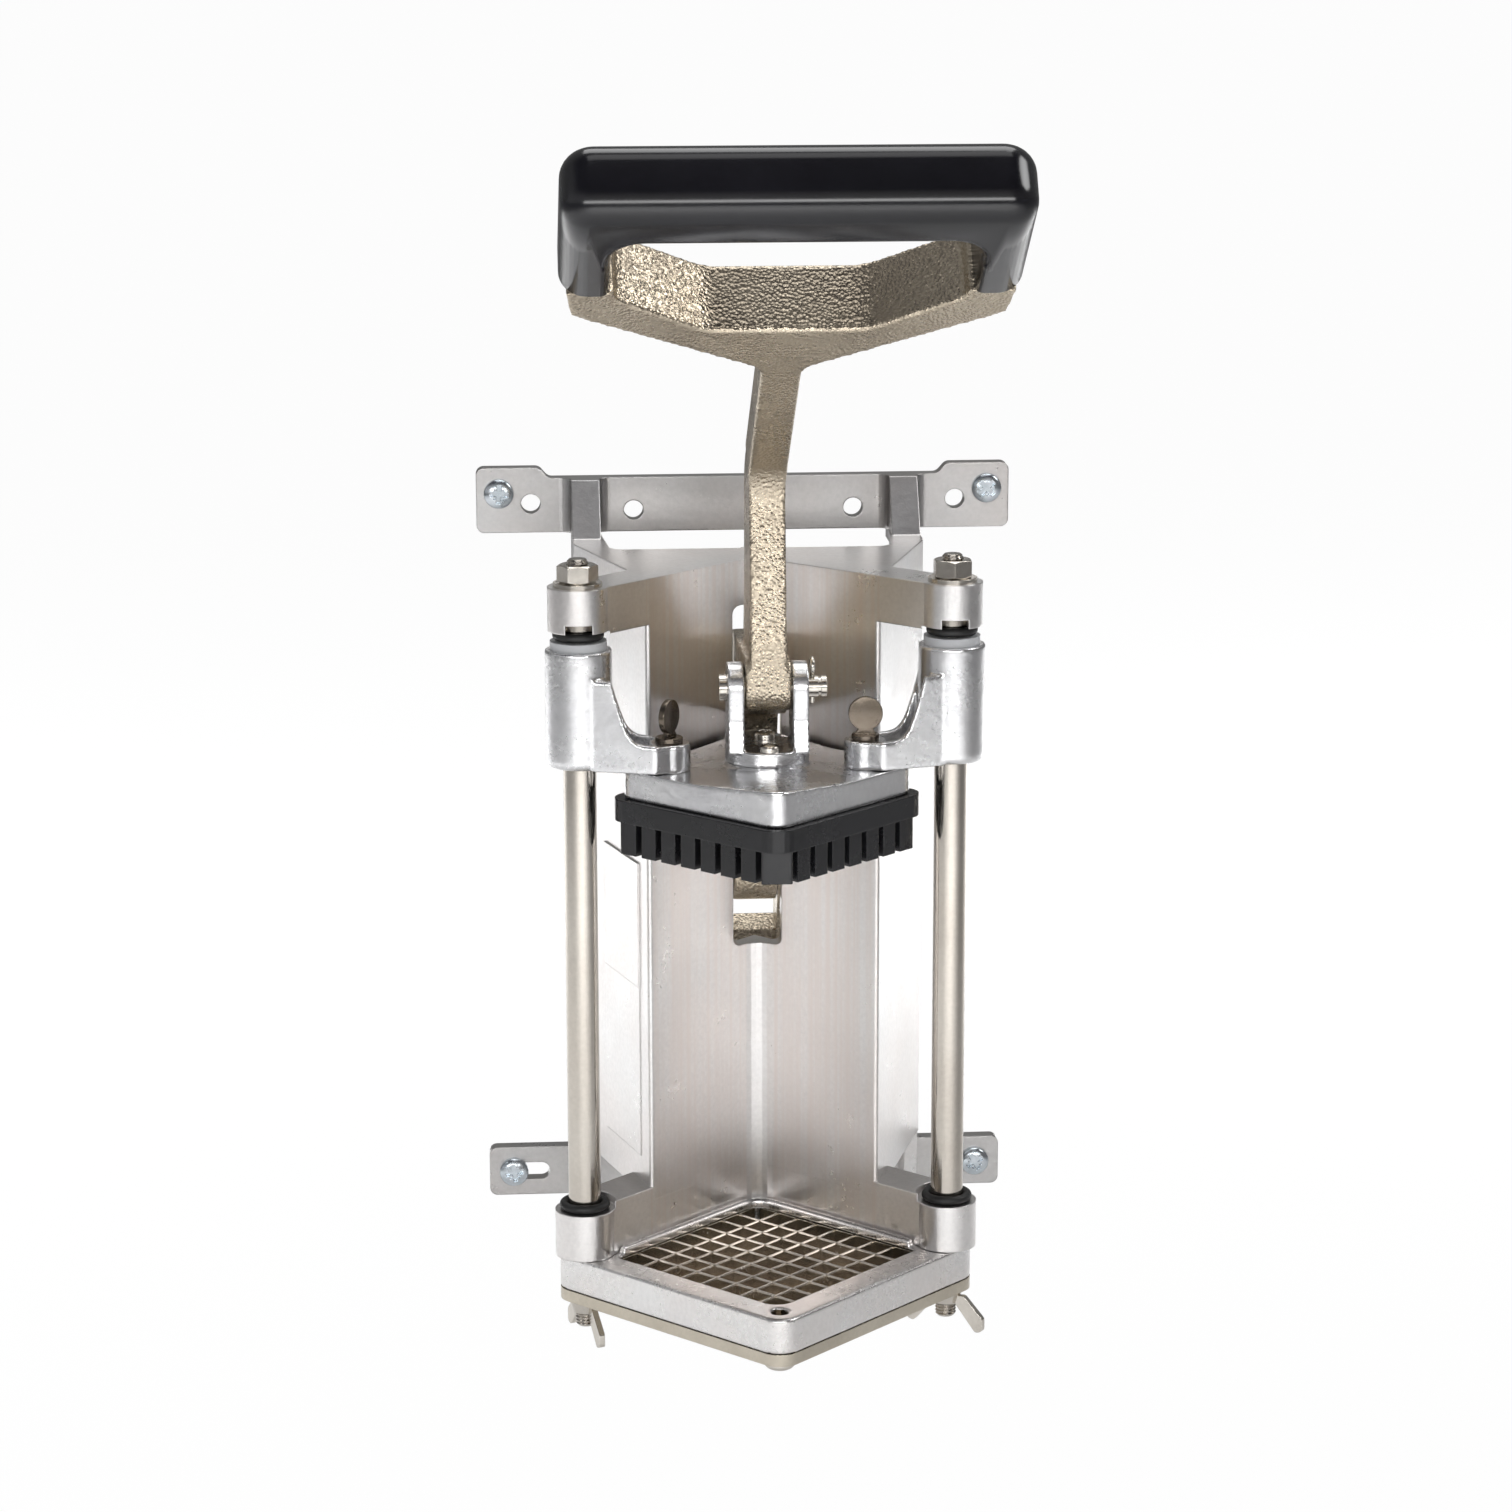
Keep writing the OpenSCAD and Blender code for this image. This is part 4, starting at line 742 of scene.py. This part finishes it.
def spade_screw(name):
    """A round spade on a waisted neck, stamped flat, over a collar and a shank along Z."""
    sweep = 360 - 2 * math.degrees(math.asin(neck_narrow / spade_r))
    head = arc((0, spade_up), spade_r, 90 - sweep / 2, 90 + sweep / 2, steps=36)
    outline = ([(neck_wide, collar_h), (neck_narrow, neck_up)] + head
               + [(-neck_narrow, neck_up), (-neck_wide, collar_h)])
    stamping = bmesh.new()
    sides = [[stamping.verts.new((x, y, z)) for x, z in outline]
             for y in (-spade_t / 2, spade_t / 2)]
    stamping.faces.new(sides[0])
    stamping.faces.new(list(reversed(sides[1])))
    for k in range(len(outline)):
        j = (k + 1) % len(outline)
        stamping.faces.new((sides[0][j], sides[0][k], sides[1][k], sides[1][j]))
    bmesh.ops.recalc_face_normals(stamping, faces=stamping.faces)
    bmesh.ops.bevel(stamping, geom=[e for e in stamping.edges if e.verts[0].co.y == e.verts[1].co.y],
                    offset=spade_edge, segments=3, profile=0.5, affect="EDGES", clamp_overlap=True)
    heights = [spade_shank, -HAIR, 0, collar_edge, collar_h - collar_edge, collar_h]
    shank = turned(name + "_shank", (0, 0, 0), heights,
                   lambda height, angle: spade_shank_r if height < 0 else
                   collar_r - collar_edge + min(collar_edge, height, collar_h - height))
    stamping.from_mesh(shank.data)
    stamping.to_mesh(shank.data)
    stamping.free()
    shank.data.shade_smooth()
    shank.data.set_sharp_from_angle(angle=spade_sharp)
    return shank


EAR_X, EAR_Y, EAR_TOP = 0.03546, -0.132, -0.0666
for side, x, angle in (("left", -EAR_X, 60), ("right", EAR_X, 0)):
    spade = repeated("spade_" + side, spade_screw("spade_" + side + "_item"), [(x, EAR_Y, EAR_TOP)],
                     [(0, 0, math.radians(angle))], spade_metal)
    stands_for(spade, "thumb_screw_" + side, "thumb_screw_" + side[0], spade_metal)


# Clevis bracket: a bright casting screwed to the pusher plate, which carries the lever on a
# plated steel pin with a cotter.
bracket = softened("clevis_bracket", "bracket_casting", voxel=0.0005, rounds=5)
stands_for(bracket, "clevis_bracket", "carriage", cast_arm)
finish(["clevis_screws", "clevis_pin", "cotter_pin"], bright_nickel)


# Lever: one cranked iron casting, nickel plated over the sand's own grain, and behind the
# channel the forked link of the same make that it turns on, with their ground pins.
LEVER = (0.61, 0.53, 0.415)
pebbled_nickel = solid_material("pebbled_nickel", LEVER, 0.27, patch=(0.52, 0.445, 0.345),
                                patch_size=30, grains=((2000, 0.00008),),
                                pebbles=((900, 0.00034),), wear_and_highlight=0.4)
lever = softened("lever", "lever_casting", voxel=0.0009, rounds=4)
stands_for(lever, "lever", "hand_lever", pebbled_nickel)
finish(["fulcrum_pin", "link_pin"], ground_steel)
finish(["swing_link"], pebbled_nickel)


# Grip: a glossy black moulding round the lever's yoke, drawn flat, given its depth and then
# rounded along its edges. It is drawn in the upper lever's own leaning frame.
GRIP = (0.005, 0.005, 0.007)
LEAN = math.radians(55)
LEAN_ORIGIN = Vector((0, -0.132, 0.0286))
grip_outer, grip_inner = 0.0755, 0.0591
grip_low, grip_under, grip_top = 0.137, 0.169, 0.191
grip_depth = (-0.001, 0.0265)
grip_corner = 0.011
grip_edge, grip_inner_edge = 0.0092, 0.0030


def half_outline():
    """The right half of the grip's outline, from the middle of the top round to the inside."""
    return (arc((grip_outer - grip_corner, grip_top - grip_corner), grip_corner, 90, 0)
            + [(grip_outer, grip_low), (grip_inner, grip_low)]
            + arc((grip_inner - grip_corner, grip_under - grip_corner), grip_corner, 0, 90))


def leaning(x, depth, along):
    """From the upper lever's frame to the part's."""
    return (x, LEAN_ORIGIN.y + depth * math.cos(LEAN) - along * math.sin(LEAN),
            LEAN_ORIGIN.z + depth * math.sin(LEAN) + along * math.cos(LEAN))


right_half = half_outline()
outline = right_half + [(-x, along) for x, along in reversed(right_half)]
moulding = bmesh.new()
near = [moulding.verts.new(leaning(x, grip_depth[0], along)) for x, along in outline]
far = [moulding.verts.new(leaning(x, grip_depth[1], along)) for x, along in outline]
moulding.faces.new(near)
moulding.faces.new(list(reversed(far)))
for k in range(len(outline)):
    j = (k + 1) % len(outline)
    moulding.faces.new((near[j], near[k], far[k], far[j]))
bmesh.ops.recalc_face_normals(moulding, faces=moulding.faces)
# the outline's middle part is the inside of the grip
steps = len(right_half) // 2
inside = {verts[k] for verts in (near, far) for k in range(steps, len(outline) - steps)}
rims = [edge for edge in moulding.edges if len({v in near for v in edge.verts}) == 1]
outer_rims = [edge for edge in rims if not any(v in inside for v in edge.verts)]
inner_rims = [edge for edge in rims if all(v in inside for v in edge.verts)]
for edges, offset, segments in ((inner_rims, grip_inner_edge, 5), (outer_rims, grip_edge, 9)):
    bmesh.ops.bevel(moulding, geom=[edge for edge in edges if edge.is_valid], offset=offset,
                    segments=segments, profile=0.5, affect="EDGES")
grip_mesh = bpy.data.meshes.new("grip_moulding")
moulding.to_mesh(grip_mesh)
moulding.free()
grip_mesh.shade_smooth()
grip = bpy.data.objects.new("grip_moulding", grip_mesh)
SCENE.collection.objects.link(grip)
gloss_black = solid_material("gloss_black", GRIP, 0.17, ior=1.55, metallic=0.0,
                             patch=(0.008, 0.008, 0.011), grains=((60, 0.00002),),
                             rounding=0.0006, spread=0.02)
stands_for(grip, "grip", "hand_lever", gloss_black)


# Wall screws: zinc plated steel with domed heads, a cross pressed in and a coarse thread. Four
# of them hold the bars to the wall, two a bar.
ZINC = (0.62, 0.66, 0.70)
zinc_plate = solid_material("zinc_plate", ZINC, 0.24, patch=(0.52, 0.58, 0.62), patch_size=150,
                            grains=((900, 0.00002),), rounding=0.0003, wear_and_highlight=0.5)
head_r, head_h, head_rim, head_roundness = 0.00575, 0.0038, 0.35, 2.6
shank_r, shank_end, shank_plain = 0.0025, -0.030, 0.004
shank_tip, tip_share = 0.006, 0.2
screw_pitch, screw_thread, screw_crest = 0.0018, 0.0006, 2.2
# each box of the recess: its two widths as shares of the head's, and its depth
recess_boxes = ((0.62, 0.17, 0.0026), (0.17, 0.62, 0.0026), (0.36, 0.36, 0.0016))
recess_turn = 25


def screw_radius(height, angle):
    """Domed head above zero, a coarse thread and a point below it."""
    if height >= 0:
        rise = max(0.0, height / head_h - head_rim) / (1 - head_rim)
        return max(10 * HAIR, head_r * max(0.0, 1 - rise ** head_roundness) ** 0.5)
    turn = (height / screw_pitch - angle / (2 * math.pi)) % 1
    body = min(1.0, tip_share + (height - shank_end) / shank_tip)
    groove = min(1.0, screw_crest * abs(2 * turn - 1)) * (height < -shank_plain)
    return body * (shank_r - screw_thread * groove)


def wall_screw():
    """A screw along Z, its seat at zero, with a cross pressed into the head."""
    dome = [math.sin(math.radians(9 * k)) for k in range(1, 11)]
    heights = (between(shank_end, -HAIR, screw_pitch / 8)
               + between(0, head_rim * head_h, head_h / 8)
               + [head_h * (head_rim + (1 - head_rim) * rise) for rise in dome])
    screw = turned("wall_screw", (0, 0, 0), heights, screw_radius, segments=40)
    cutter = bmesh.new()
    for x, y, deep in recess_boxes:
        bmesh.ops.create_cube(cutter, size=1, matrix=Matrix.Translation((0, 0, head_h))
                              @ Matrix.Diagonal((2 * head_r * x, 2 * head_r * y, 2 * deep, 1)))
    tool_mesh = bpy.data.meshes.new("recess")
    cutter.to_mesh(tool_mesh)
    cutter.free()
    tool = bpy.data.objects.new("recess", tool_mesh)
    SCENE.collection.objects.link(tool)
    press = screw.modifiers.new("press", "BOOLEAN")
    press.operation = "DIFFERENCE"
    press.solver = "EXACT"
    press.use_self = True
    press.object = tool
    seen = screw.evaluated_get(bpy.context.evaluated_depsgraph_get())
    mesh = bpy.data.meshes.new_from_object(seen)
    screw.modifiers.remove(press)
    screw.data = mesh
    bpy.data.objects.remove(tool)
    return screw


FACE_ON = math.radians(90)
SCREW_SEAT_Y = -0.006
for node, places in (("wall_screws_top", ((-0.0946, 0.0042, -20), (0.0946, 0.0042, 20))),
                     ("wall_screws_bottom", ((-0.0928, -0.2706, -35), (0.0928, -0.2706, 35)))):
    spots = [Vector((x, SCREW_SEAT_Y, z)) for x, z, turn in places]
    turns = [(FACE_ON, math.radians(turn + recess_turn), 0) for x, z, turn in places]
    screws = repeated(node + "_pair", wall_screw(), spots, turns, zinc_plate)
    stands_for(screws, node, "frame", zinc_plate)
